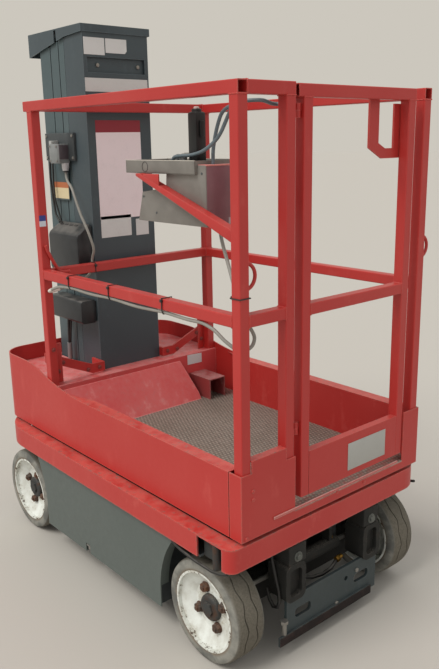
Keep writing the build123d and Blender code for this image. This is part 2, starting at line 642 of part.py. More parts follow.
# Carriage: the last section, closed, with a recess across its flat face
with BuildPart() as carriage:
    with BuildSketch(Plane.XY.offset(CARRIAGE_BOTTOM)):
        with Locations(((CARRIAGE_REAR_X + CARRIAGE_FRONT_X) / 2, 0)):
            Rectangle(CARRIAGE_FRONT_X - CARRIAGE_REAR_X, 2 * CARRIAGE_HALF)
            Rectangle(CARRIAGE_FRONT_X - CARRIAGE_REAR_X - 2 * CARRIAGE_WALL,
                      2 * (CARRIAGE_HALF - CARRIAGE_WALL), mode=Mode.SUBTRACT)
    extrude(amount=MAST_TOP - CARRIAGE_BOTTOM)
    recess_half = CARRIAGE_HALF - 14
    block(CARRIAGE_REAR_X, CARRIAGE_REAR_X + CARRIAGE_WALL, -recess_half, recess_half,
          RECESS_BOTTOM, RECESS_TOP, mode=Mode.SUBTRACT)
    block(CARRIAGE_REAR_X + RECESS_DEPTH, CARRIAGE_REAR_X + RECESS_DEPTH + 4,
          -(CARRIAGE_HALF - CARRIAGE_WALL), CARRIAGE_HALF - CARRIAGE_WALL,
          RECESS_BOTTOM - 10, RECESS_TOP + 10)
    tongue(CARRIAGE_FRONT_X, CARRIAGE_BOTTOM)
carriage.part.label = "carriage"
export_step(carriage.part, "parts/carriage.step")

# Mast cap: a lid whose side skirts deepen towards the front
with BuildPart() as mast_cap:
    cap_top = MAST_TOP + CAP_SHEET
    with BuildSketch(Plane.XZ.offset(-CAP_HALF)):
        with BuildLine():
            Polyline(
                (CAP_REAR_X, cap_top),
                (CAP_REAR_X, cap_top - CAP_REAR_SKIRT),
                (CAP_REAR_X + 110, cap_top - CAP_REAR_SKIRT - 6),
                (CAP_FRONT_X, cap_top - CAP_FRONT_SKIRT),
                (CAP_FRONT_X, cap_top),
                close=True,
            )
        make_face()
        with Locations((CAP_SLOT_X, MAST_TOP - 30)):
            Rectangle(CAP_SLOT_WIDTH, 60, mode=Mode.SUBTRACT)
    extrude(amount=2 * CAP_HALF)
    block(CAP_REAR_X + CAP_SHEET, CAP_FRONT_X - CAP_SHEET, -(CAP_HALF - CAP_SHEET), CAP_HALF - CAP_SHEET,
          cap_top - 2 * CAP_FRONT_SKIRT, MAST_TOP, mode=Mode.SUBTRACT)
mast_cap.part.label = "mast_cap"
export_step(mast_cap.part, "parts/mast_cap.step")

# Tray wall: one sheet round the platform, raised in a smooth scoop at the mast end
with BuildPart() as tray_wall:
    scoop_run = SCOOP_END_X - SCOOP_START_X
    scoop_rise = SCOOP_TOP - WALL_TOP
    scoop_points = [(SCOOP_START_X + along * scoop_run, WALL_TOP + up * scoop_rise)
                    for along, up in SCOOP_SHAPE]
    with BuildSketch(Plane.XY.offset(TRAY_BOTTOM)):
        add(tray_plan(0))
        add(tray_plan(TRAY_SHEET), mode=Mode.SUBTRACT)
    extrude(amount=SCOOP_TOP - TRAY_BOTTOM)
    with BuildSketch(Plane.XZ.offset(-TRAY_HALF - 1)):
        with BuildLine():
            Line((REAR_X - 1, SCOOP_TOP + 1), (REAR_X - 1, WALL_TOP))
            Line((REAR_X - 1, WALL_TOP), (SCOOP_START_X, WALL_TOP))
            Spline(
                (SCOOP_START_X, WALL_TOP),
                *scoop_points,
                (SCOOP_END_X, SCOOP_TOP),
                tangents=((1, 0), (1, 0)),
            )
            Line((SCOOP_END_X, SCOOP_TOP), (SCOOP_END_X, SCOOP_TOP + 1))
            Line((SCOOP_END_X, SCOOP_TOP + 1), (REAR_X - 1, SCOOP_TOP + 1))
        make_face()
    extrude(amount=2 * TRAY_HALF + 2, mode=Mode.SUBTRACT)
    seam_end = SEAM_X + SEAM_GAP
    block(REAR_X - 1, seam_end, -TRAY_HALF - 1, TRAY_HALF + 1, TRAY_BOTTOM - 1, SCOOP_TOP, mode=Mode.SUBTRACT)
    for side in (-1, 1):
        with BuildSketch(Plane.XY.offset(WALL_TOP - LEDGE_SHEET)):
            with BuildLine():
                Polyline(
                    (seam_end, side * (TRAY_HALF - TRAY_SHEET)),
                    (SCOOP_START_X, side * (TRAY_HALF - TRAY_SHEET)),
                    (SCOOP_START_X, side * (TRAY_HALF - WALL_FLANGE)),
                    (seam_end, side * (TRAY_HALF - WALL_FLANGE)),
                    close=True,
                )
            make_face()
        extrude(amount=LEDGE_SHEET)
        inner = sorted((side * (TRAY_HALF - WALL_FLANGE), side * (TRAY_HALF - WALL_FLANGE + LEDGE_SHEET)))
        block(seam_end, SCOOP_START_X, *inner, TRAY_BOTTOM + 24, WALL_TOP - LEDGE_SHEET)
tray_wall.part.label = "tray_wall"
export_step(tray_wall.part, "parts/tray_wall.step")

# Rear panels: the folded corner sheets and the fixed toe panel beside the gate
with BuildPart() as rear_panel:
    side_front_x = SEAM_X
    panel_front = REAR_X + LEDGE_SHEET
    block(REAR_X, panel_front, FIXED_POST_Y - 3, TRAY_HALF, TRAY_BOTTOM, WALL_TOP)
    block(REAR_X, panel_front, FIXED_POST_Y + TUBE, RAIL_HALF - TUBE, WALL_TOP, REAR_PANEL_TOP)
    block(REAR_X, REAR_X + REAR_PANEL_LEDGE, FIXED_POST_Y + TUBE + SEAT_GAP, RAIL_HALF - TUBE - SEAT_GAP,
          REAR_PANEL_TOP - LEDGE_SHEET, REAR_PANEL_TOP)
    block(panel_front, side_front_x, TRAY_HALF - LEDGE_SHEET, TRAY_HALF, TRAY_BOTTOM, WALL_TOP)
    block(REAR_X, panel_front, -TRAY_HALF, DOOR_RIGHT_Y, TRAY_BOTTOM, WALL_TOP)
    block(panel_front, side_front_x, -TRAY_HALF, -TRAY_HALF + LEDGE_SHEET, TRAY_BOTTOM, WALL_TOP)
    block(REAR_X, panel_front, DOOR_RIGHT_Y, FIXED_POST_Y - 3, TRAY_BOTTOM, FLOOR_TOP - FLOOR_SHEET)
rear_panel.part.label = "rear_panel"
export_step(rear_panel.part, "parts/rear_panel.step")

# Floor: tread plate on two long beams and three cross channels
with BuildPart() as floor_plate:
    beam_top = FLOOR_TOP - FLOOR_SHEET
    floor_half = TRAY_HALF - TRAY_SHEET - SEAT_GAP
    sheet_front = REAR_X + LEDGE_SHEET + SEAT_GAP
    notch_front = POST_REAR_X + TUBE + SEAT_GAP
    block(sheet_front, RISER_X, -floor_half, floor_half, beam_top, FLOOR_TOP)
    doorway = (DOOR_RIGHT_Y + SEAT_GAP, FIXED_POST_Y - LEDGE_SHEET - SEAT_GAP)
    block(REAR_X, sheet_front, *doorway, beam_top, FLOOR_TOP)
    for side in (-1, 1):
        middle = side * FLOOR_BEAM_Y
        block(REAR_X + 40, CARRIAGE_REAR_X, middle - FLOOR_BEAM_WIDTH / 2, middle + FLOOR_BEAM_WIDTH / 2,
              TRAY_BOTTOM, beam_top)
    for count in range(3):
        channel_x = FLOOR_CHANNEL_FIRST_X + count * FLOOR_CHANNEL_PITCH
        block(channel_x, channel_x + FLOOR_BEAM_WIDTH, -floor_half, floor_half, TRAY_BOTTOM, beam_top)
    for post_edge in (RAIL_HALF - TUBE, -RAIL_HALF, FIXED_POST_Y):
        block(REAR_X, notch_front, post_edge - SEAT_GAP, post_edge + TUBE + SEAT_GAP, TRAY_BOTTOM, FLOOR_TOP,
              mode=Mode.SUBTRACT)
    for side in (-1, 1):
        flange = sorted((side * (TRAY_HALF - WALL_FLANGE - SEAT_GAP), side * floor_half))
        block(SEAM_X, SCOOP_START_X, *flange, beam_top, FLOOR_TOP, mode=Mode.SUBTRACT)
floor_plate.part.label = "floor_plate"
export_step(floor_plate.part, "parts/floor_plate.step")

# Mast cover: riser, ledge with the mast opening, and the sloped panel leaning on the riser
with BuildPart() as mast_cover:
    inside = TRAY_HALF - TRAY_SHEET - SEAT_GAP
    block(RISER_X, RISER_X + LEDGE_SHEET, -inside, inside, TRAY_BOTTOM, WALL_TOP - LEDGE_SHEET)
    with BuildSketch(Plane.XY.offset(WALL_TOP - LEDGE_SHEET)):
        add(tray_plan(TRAY_SHEET + SEAT_GAP))
        with Locations((REAR_X, 0)):
            Rectangle(2 * (RISER_X - REAR_X), 4 * TRAY_HALF, mode=Mode.SUBTRACT)
        with Locations(((CARRIAGE_REAR_X + LEDGE_OPENING_FRONT_X) / 2, 0)):
            Rectangle(LEDGE_OPENING_FRONT_X - CARRIAGE_REAR_X, 2 * LEDGE_OPENING_HALF, mode=Mode.SUBTRACT)
    extrude(amount=LEDGE_SHEET)
    for beam_y in (-FLOOR_BEAM_Y, FLOOR_BEAM_Y):
        block(RISER_X, RISER_X + LEDGE_SHEET, beam_y - FLOOR_BEAM_WIDTH / 2, beam_y + FLOOR_BEAM_WIDTH / 2,
              TRAY_BOTTOM, FLOOR_TOP - FLOOR_SHEET, mode=Mode.SUBTRACT)
mast_cover.part.label = "mast_cover"
export_step(mast_cover.part, "parts/mast_cover.step")

# Slope panel: a bent sheet from the floor up to the riser
with BuildPart() as slope_panel:
    slope_left = TRAY_HALF - WALL_FLANGE - SEAT_GAP
    with BuildSketch(Plane.XZ.offset(-slope_left)):
        with BuildLine():
            Polyline(
                (SLOPE_FOOT_X, FLOOR_TOP),
                (SLOPE_FOOT_X + 4, FLOOR_TOP + 6),
                (RISER_X - 4, SLOPE_TOP_Z),
                (RISER_X, SLOPE_TOP_Z),
                (RISER_X, SLOPE_TOP_Z - 4),
                (RISER_X - 3, SLOPE_TOP_Z - 4),
                (SLOPE_FOOT_X + 5, FLOOR_TOP),
                close=True,
            )
        make_face()
    extrude(amount=slope_left - SLOPE_RIGHT_FOOT_Y)
    with BuildSketch(Plane.YZ.offset(SLOPE_FOOT_X - 1)):
        with BuildLine():
            Polyline(
                (SLOPE_RIGHT_FOOT_Y, FLOOR_TOP + 24),
                (SLOPE_RIGHT_TOP_Y, SLOPE_TOP_Z + 1),
                (SLOPE_RIGHT_FOOT_Y - 1, SLOPE_TOP_Z + 1),
                (SLOPE_RIGHT_FOOT_Y - 1, FLOOR_TOP + 24),
                close=True,
            )
        make_face()
    extrude(amount=RISER_X - SLOPE_FOOT_X + 2, mode=Mode.SUBTRACT)
slope_panel.part.label = "slope_panel"
export_step(slope_panel.part, "parts/slope_panel.step")

# Railing: posts, top rails and mid rails, with the arms that tie the front posts to the carriage
hinge_heights = (HINGE_LOW_Z, HINGE_HIGH_Z)
rail_y = RAIL_HALF - TUBE / 2
top_z = RAIL_TOP - TUBE / 2
mid_z = MID_RAIL_TOP - TUBE / 2
post_top = RAIL_TOP - TUBE
rear_post_x = POST_REAR_X + TUBE / 2
front_post_x = FRONT_POST_X - TUBE / 2
fixed_post_y = FIXED_POST_Y + TUBE / 2
tube_table = [
    # start, end
    ((POST_REAR_X, rail_y, top_z), (TOP_RAIL_FRONT_X, rail_y, top_z)),
    ((POST_REAR_X, -rail_y, top_z), (TOP_RAIL_FRONT_X, -rail_y, top_z)),
    ((front_post_x, RAIL_HALF - TUBE, top_z), (front_post_x, TUBE - RAIL_HALF, top_z)),
    ((rear_post_x, RAIL_HALF - TUBE, top_z), (rear_post_x, FIXED_POST_Y, top_z)),
    ((rear_post_x, rail_y, TRAY_BOTTOM), (rear_post_x, rail_y, post_top)),
    ((rear_post_x, -rail_y, TRAY_BOTTOM), (rear_post_x, -rail_y, post_top)),
    ((rear_post_x, fixed_post_y, TRAY_BOTTOM), (rear_post_x, fixed_post_y, post_top)),
    ((front_post_x, rail_y, WALL_TOP), (front_post_x, rail_y, post_top)),
    ((front_post_x, -rail_y, WALL_TOP), (front_post_x, -rail_y, post_top)),
    ((POST_REAR_X + TUBE, rail_y, mid_z), (FRONT_POST_X - TUBE, rail_y, mid_z)),
    ((POST_REAR_X + TUBE, -rail_y, mid_z), (FRONT_POST_X - TUBE, -rail_y, mid_z)),
    ((front_post_x, RAIL_HALF - TUBE, mid_z), (front_post_x, TUBE - RAIL_HALF, mid_z)),
    ((rear_post_x, RAIL_HALF - TUBE, mid_z), (rear_post_x, FIXED_POST_Y + TUBE, mid_z)),
]
with BuildPart() as rail_frame:
    for start, end in tube_table:
        square_tube(start, end)
    for side in (-1, 1):
        with BuildSketch(Plane.YZ.offset(FRONT_POST_X + SEAT_GAP)):
            with BuildLine():
                Polyline(
                    (side * RAIL_HALF, ARM_OUTER_TOP),
                    (side * RAIL_HALF, ARM_OUTER_TOP - ARM_DEPTH),
                    (side * (RAIL_HALF - TUBE), ARM_OUTER_TOP - ARM_DEPTH - 10),
                    (side * (CARRIAGE_HALF + 50), ARM_BOTTOM),
                    (side * CARRIAGE_HALF, ARM_BOTTOM),
                    (side * CARRIAGE_HALF, ARM_BOTTOM + ARM_DEPTH),
                    (side * (CARRIAGE_HALF + 50), ARM_BOTTOM + ARM_DEPTH),
                    close=True,
                )
            make_face()
        extrude(amount=ARM_THICKNESS)
        lug = sorted((side * (CARRIAGE_HALF + SEAT_GAP), side * (CARRIAGE_HALF + ARM_LUG)))
        block(FRONT_POST_X + SEAT_GAP, CARRIAGE_REAR_X + 50, *lug, ARM_BOTTOM, ARM_BOTTOM + ARM_DEPTH)
    # Lanyard rings: a half loop on the same side of each rear corner post
    for ring_face in (RAIL_HALF - TUBE, -RAIL_HALF):
        ring_centre = (rear_post_x, ring_face - SEAT_GAP, RING_Z)
        with Locations(Plane(origin=ring_centre, x_dir=(0, 0, 1), z_dir=(1, 0, 0))):
            Torus(RING_RADIUS, RING_WIRE, major_angle=180, align=None)
    # Hinge lugs and pins for the gate on the inner fixed post
    for hinge_z in hinge_heights:
        with Locations((rear_post_x, GATE_AXIS_Y, hinge_z)):
            Cylinder(HINGE_RADIUS, HINGE_HEIGHT, align=(Align.CENTER, Align.CENTER, Align.MAX))
            Cylinder(HINGE_PIN_RADIUS, HINGE_HEIGHT, align=(Align.CENTER, Align.CENTER, Align.MIN))
        block(rear_post_x - HINGE_LUG / 2, rear_post_x + HINGE_LUG / 2, GATE_AXIS_Y, FIXED_POST_Y - SEAT_GAP,
              hinge_z - HINGE_HEIGHT, hinge_z)
rail_frame.part.label = "rail_frame"
export_step(rail_frame.part, "parts/rail_frame.step")

# Gate: hinge post, latch post, two rails and a toe panel with a folded top
gate_axis_x = POST_REAR_X + TUBE / 2
with BuildPart() as gate_frame:
    gate_post_y = GATE_POST_Y - TUBE / 2
    latch_post_y = GATE_LATCH_Y + TUBE / 2
    gate_top_z = GATE_RAIL_TOP - TUBE / 2
    gate_mid_z = GATE_MID_TOP - TUBE / 2
    gate_rail_end = GATE_AXIS_Y + HINGE_RADIUS
    square_tube((gate_axis_x, gate_rail_end, gate_top_z), (gate_axis_x, GATE_LATCH_Y, gate_top_z))
    for post_y in (gate_post_y, latch_post_y):
        square_tube((gate_axis_x, post_y, GATE_BOTTOM), (gate_axis_x, post_y, GATE_RAIL_TOP - TUBE))
    square_tube((gate_axis_x, GATE_POST_Y - TUBE, gate_mid_z), (gate_axis_x, GATE_LATCH_Y + TUBE, gate_mid_z))
    panel_y = (GATE_LATCH_Y + TUBE + SEAT_GAP, GATE_POST_Y - TUBE - SEAT_GAP)
    panel_x = POST_REAR_X
    block(panel_x, panel_x + LEDGE_SHEET, *panel_y, GATE_BOTTOM, GATE_PANEL_TOP)
    block(panel_x, panel_x + GATE_PANEL_LEDGE, *panel_y, GATE_PANEL_TOP - LEDGE_SHEET, GATE_PANEL_TOP)
    for hinge_z in hinge_heights:
        with Locations((gate_axis_x, GATE_AXIS_Y, hinge_z + SEAT_GAP)):
            Cylinder(HINGE_RADIUS, HINGE_HEIGHT, align=(Align.CENTER, Align.CENTER, Align.MIN))
        block(gate_axis_x - HINGE_LUG / 2, gate_axis_x + HINGE_LUG / 2, GATE_POST_Y + SEAT_GAP, GATE_AXIS_Y,
              hinge_z + SEAT_GAP, hinge_z + SEAT_GAP + HINGE_HEIGHT)
        with Locations((gate_axis_x, GATE_AXIS_Y, hinge_z + SEAT_GAP)):
            Cylinder(HINGE_PIN_RADIUS + PIN_GAP, HINGE_HEIGHT, align=(Align.CENTER, Align.CENTER, Align.MIN),
                     mode=Mode.SUBTRACT)
    # Latch: a flat bar hung from the top rail, bent across to a channel on the latch post
    latch_x = gate_axis_x + TUBE / 2 + SEAT_GAP
    with BuildSketch(Plane.YZ.offset(latch_x)):
        with BuildLine():
            Polyline(
                (LATCH_HANGER_Y, GATE_RAIL_TOP),
                (LATCH_HANGER_Y - LATCH_BAR, GATE_RAIL_TOP),
                (LATCH_HANGER_Y - LATCH_BAR, LATCH_BOTTOM + LATCH_BEND_RISE),
                (LATCH_HANGER_Y - LATCH_BAR - LATCH_CORNER, LATCH_BOTTOM + LATCH_FOOT),
                (LATCH_CHANNEL_Y, LATCH_BOTTOM + LATCH_FOOT),
                (LATCH_CHANNEL_Y, LATCH_BOTTOM + LATCH_CHANNEL_HEIGHT),
                (GATE_LATCH_Y, LATCH_BOTTOM + LATCH_CHANNEL_HEIGHT),
                (GATE_LATCH_Y, LATCH_BOTTOM),
                (LATCH_HANGER_Y - LATCH_BAR - LATCH_CORNER / 2, LATCH_BOTTOM),
                (LATCH_HANGER_Y, LATCH_BOTTOM + LATCH_CORNER),
                close=True,
            )
        make_face()
    extrude(amount=LATCH_SHEET)
gate_frame.part.label = "gate_frame"
export_step(gate_frame.part, "parts/gate_frame.step")

# Side boxes on the left of the carriage
box_table = (
    # name, rear, front, depth, bottom, top, corner radius
    ("connector_box", 392.0, 438.0, 50.0, 1189.0, 1389.0, 4.0),
    ("moulded_cover", 330.0, 438.0, 60.0, 937.0, 1110.0, 14.0),
    ("lower_box", 332.0, 438.0, 50.0, 778.0, 845.0, 4.0),
)
for name, box_rear, box_front, depth, bottom, top, radius in box_table:
    with BuildPart() as side_box:
        block(box_rear, box_front, CARRIAGE_HALF, CARRIAGE_HALF + depth, bottom, top)
        fillet(side_box.edges().filter_by(Axis.Z).group_by(Axis.Y)[-1], radius)
    side_box.part.label = name
    export_step(side_box.part, f"parts/{name}.step")

# Foot switch guard on the floor, open towards the entry
with BuildPart() as foot_guard:
    guard_y = (GUARD_CENTRE_Y - GUARD_WIDTH / 2, GUARD_CENTRE_Y + GUARD_WIDTH / 2)
    block(GUARD_REAR_X, RISER_X - SEAT_GAP, *guard_y, FLOOR_TOP, GUARD_TOP)
    block(GUARD_REAR_X, RISER_X - 8, guard_y[0] + GUARD_SHEET, guard_y[1] - GUARD_SHEET,
          FLOOR_TOP, GUARD_TOP - GUARD_SHEET, mode=Mode.SUBTRACT)
foot_guard.part.label = "foot_guard"
export_step(foot_guard.part, "parts/foot_guard.step")

# Console: two slanted braces from the rear posts, a closed case between them and a tray above
with BuildPart() as console_braces:
    for brace_y in (BRACE_OUTER_Y, BRACE_INNER_Y):
        with BuildSketch(Plane.XZ.offset(-brace_y - BRACE / 2)):
            with BuildLine():
                Polyline(
                    (BRACE_REAR_X, BRACE_LOW_Z),
                    (BRACE_REAR_X, BRACE_LOW_Z - BRACE_DEPTH),
                    (BRACE_FRONT_X, BRACE_HIGH_Z - BRACE_DEPTH),
                    (BRACE_FRONT_X, BRACE_HIGH_Z),
                    (BRACE_FRONT_X - 40, BRACE_HIGH_Z),
                    close=True,
                )
            make_face()
        extrude(amount=BRACE)
console_braces.part.label = "console_braces"
export_step(console_braces.part, "parts/console_braces.step")

with BuildPart() as console_case:
    case_y = (BRACE_INNER_Y + BRACE / 2 + SEAT_GAP, BRACE_OUTER_Y - BRACE / 2 - SEAT_GAP)
    with BuildSketch(Plane.XZ.offset(-case_y[1])):
        with BuildLine():
            Polyline(
                (CASE_REAR_X, CASE_TOP_Z),
                (CASE_REAR_X, CASE_BOTTOM_Z),
                (CASE_FRONT_X, CASE_BOTTOM_Z),
                (CASE_FRONT_X, BRACE_HIGH_Z),
                (CONSOLE_STEP_X, BRACE_HIGH_Z),
                (CONSOLE_STEP_X, CASE_TOP_Z),
                close=True,
            )
        make_face()
    extrude(amount=case_y[1] - case_y[0])
console_case.part.label = "console_case"
export_step(console_case.part, "parts/console_case.step")

with BuildPart() as console_tray:
    tray_x = (CONSOLE_STEP_X + SEAT_GAP, CONSOLE_TRAY_FRONT_X)
    tray_y = (BRACE_INNER_Y - BRACE / 2, CONSOLE_TRAY_OUTER_Y)
    block(*tray_x, *tray_y, BRACE_HIGH_Z, CONSOLE_TRAY_TOP_Z)
    block(tray_x[0] + CONSOLE_SHEET, tray_x[1] - CONSOLE_SHEET, tray_y[0] + CONSOLE_SHEET,
          tray_y[1] - CONSOLE_SHEET, BRACE_HIGH_Z + CONSOLE_SHEET, CONSOLE_TRAY_TOP_Z, mode=Mode.SUBTRACT)
console_tray.part.label = "console_tray"
export_step(console_tray.part, "parts/console_tray.step")

with BuildPart() as control_box:
    block(CONTROL_REAR_X, CONTROL_REAR_X + CONTROL_DEPTH, CONTROL_Y, CONTROL_Y + CONTROL_WIDTH, CASE_TOP_Z,
          CONTROL_TOP_Z)
    fillet(control_box.edges().filter_by(Axis.Z), 8)
control_box.part.label = "control_box"
export_step(control_box.part, "parts/control_box.step")
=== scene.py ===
"""Looks of a vertical mast lift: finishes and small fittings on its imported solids.

Lengths are metres. +X points to the mast, +Y to the machine's left and +Z up.
"""

import logging
import math
from dataclasses import dataclass
from enum import Enum
from typing import NamedTuple

import bmesh
import bpy
from mathutils import Matrix, Vector


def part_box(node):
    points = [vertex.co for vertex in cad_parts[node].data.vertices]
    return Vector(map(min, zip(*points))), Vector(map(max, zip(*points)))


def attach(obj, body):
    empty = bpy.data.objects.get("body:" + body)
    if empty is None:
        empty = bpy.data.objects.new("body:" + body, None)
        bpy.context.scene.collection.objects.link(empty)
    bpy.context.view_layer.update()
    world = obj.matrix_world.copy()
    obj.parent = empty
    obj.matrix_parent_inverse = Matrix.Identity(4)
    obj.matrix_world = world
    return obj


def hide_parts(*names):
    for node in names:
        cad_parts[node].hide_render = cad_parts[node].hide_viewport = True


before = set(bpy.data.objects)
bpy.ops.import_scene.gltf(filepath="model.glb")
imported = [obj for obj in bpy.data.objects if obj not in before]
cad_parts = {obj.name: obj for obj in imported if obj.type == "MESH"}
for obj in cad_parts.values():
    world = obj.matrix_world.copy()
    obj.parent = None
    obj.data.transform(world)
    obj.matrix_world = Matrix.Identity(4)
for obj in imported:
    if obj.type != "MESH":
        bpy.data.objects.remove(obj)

LOG = logging.getLogger("mast_lift")
SIDES = (-1, 1)
UP, DOWN, OUT_LEFT, TO_ENTRY = (0, 0, 1), (0, 0, -1), (0, 1, 0), (-1, 0, 0)


class Place(NamedTuple):
    """A point, to the micron."""

    x: float
    y: float
    z: float


def lowest(node: str) -> Place:
    """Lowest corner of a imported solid."""
    return Place(*(round(c, 6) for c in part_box(node)[0]))


def highest(node: str) -> Place:
    """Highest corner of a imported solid."""
    return Place(*(round(c, 6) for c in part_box(node)[1]))


AXLE_X = {end: (lowest(f"hub_{end}_left").x + highest(f"hub_{end}_left").x) / 2 for end in ("front", "rear")}
AXLE_Z = highest("tyre_front_left").z / 2
UNDER_DECK_Z = highest("side_cover_left").z


def linear(code: str) -> tuple[float, float, float, float]:
    """Turns a hex colour as seen on a screen into linear light.

    Args:
        code: Six hex digits, such as "b84841".

    Returns:
        Red, green, blue and an alpha of one.
    """
    parts = [int(code[i:i + 2], 16) / 255 for i in (0, 2, 4)]
    light = [c / 12.92 if c <= 0.04045 else ((c + 0.055) / 1.055) ** 2.4 for c in parts]
    return (light[0], light[1], light[2], 1.0)


def shade(colour: tuple, factor: float, lift: float = 0.0) -> tuple[float, ...]:
    """A colour made darker or paler, with an alpha of one."""
    return tuple(min(1.0, c * factor + lift) for c in colour[:3]) + (1.0,)


def span(side: int, first: float, second: float) -> list[float]:
    """Two distances from the middle plane on one side, the lower first."""
    return sorted((side * first, side * second))


def flip(outline: list) -> list:
    """Corners as pairs of z and x, from pairs of x and z."""
    return [(z, x) for x, z in outline]


def metres(points: tuple) -> list:
    """Points in metres, from points in millimetres."""
    return [tuple(c / 1000 for c in point) for point in points]


class Signal:
    """A value on its way through a material, with the arithmetic of a plain number."""

    def __init__(self, graph: "Graph", socket: bpy.types.NodeSocket) -> None:
        """Keeps the graph and the socket that gives the value."""
        self.graph = graph
        self.socket = socket

    def _math(self, operation: str, *others: "Signal | float") -> "Signal":
        """Adds one Math node that takes this value first, and gives its result."""
        return self.graph.node("ShaderNodeMath", {"operation": operation}, dict(enumerate((self, *others))))

    def __add__(self, other: "Signal | float") -> "Signal":
        """Sum."""
        return self._math("ADD", other)

    __radd__ = __add__

    def __sub__(self, other: "Signal | float") -> "Signal":
        """Difference."""
        return self._math("SUBTRACT", other)

    def __rsub__(self, other: float) -> "Signal":
        """Difference from a plain number."""
        return (self * -1.0) + other

    def __mul__(self, other: "Signal | float") -> "Signal":
        """Product."""
        return self._math("MULTIPLY", other)

    def __pow__(self, other: float) -> "Signal":
        """Power."""
        return self._math("POWER", other)

    def __abs__(self) -> "Signal":
        """Absolute value."""
        return self._math("ABSOLUTE")

    def __mod__(self, other: float) -> "Signal":
        """Remainder that is never negative."""
        return self._math("FLOORED_MODULO", other)

    def least(self, other: "Signal | float") -> "Signal":
        """The smaller of two values."""
        return self._math("MINIMUM", other)

    def step(self, low: float, high: float) -> "Signal":
        """Rises smoothly from nought at low to one at high.

        Args:
            low: Value where the result is nought.
            high: Value where the result is one.

        Returns:
            The eased value, held between nought and one.
        """
        settings = {"interpolation_type": "SMOOTHSTEP", "clamp": True}
        return self.graph.node("ShaderNodeMapRange", settings, {0: self, 1: low, 2: high, 3: 0.0, 4: 1.0})


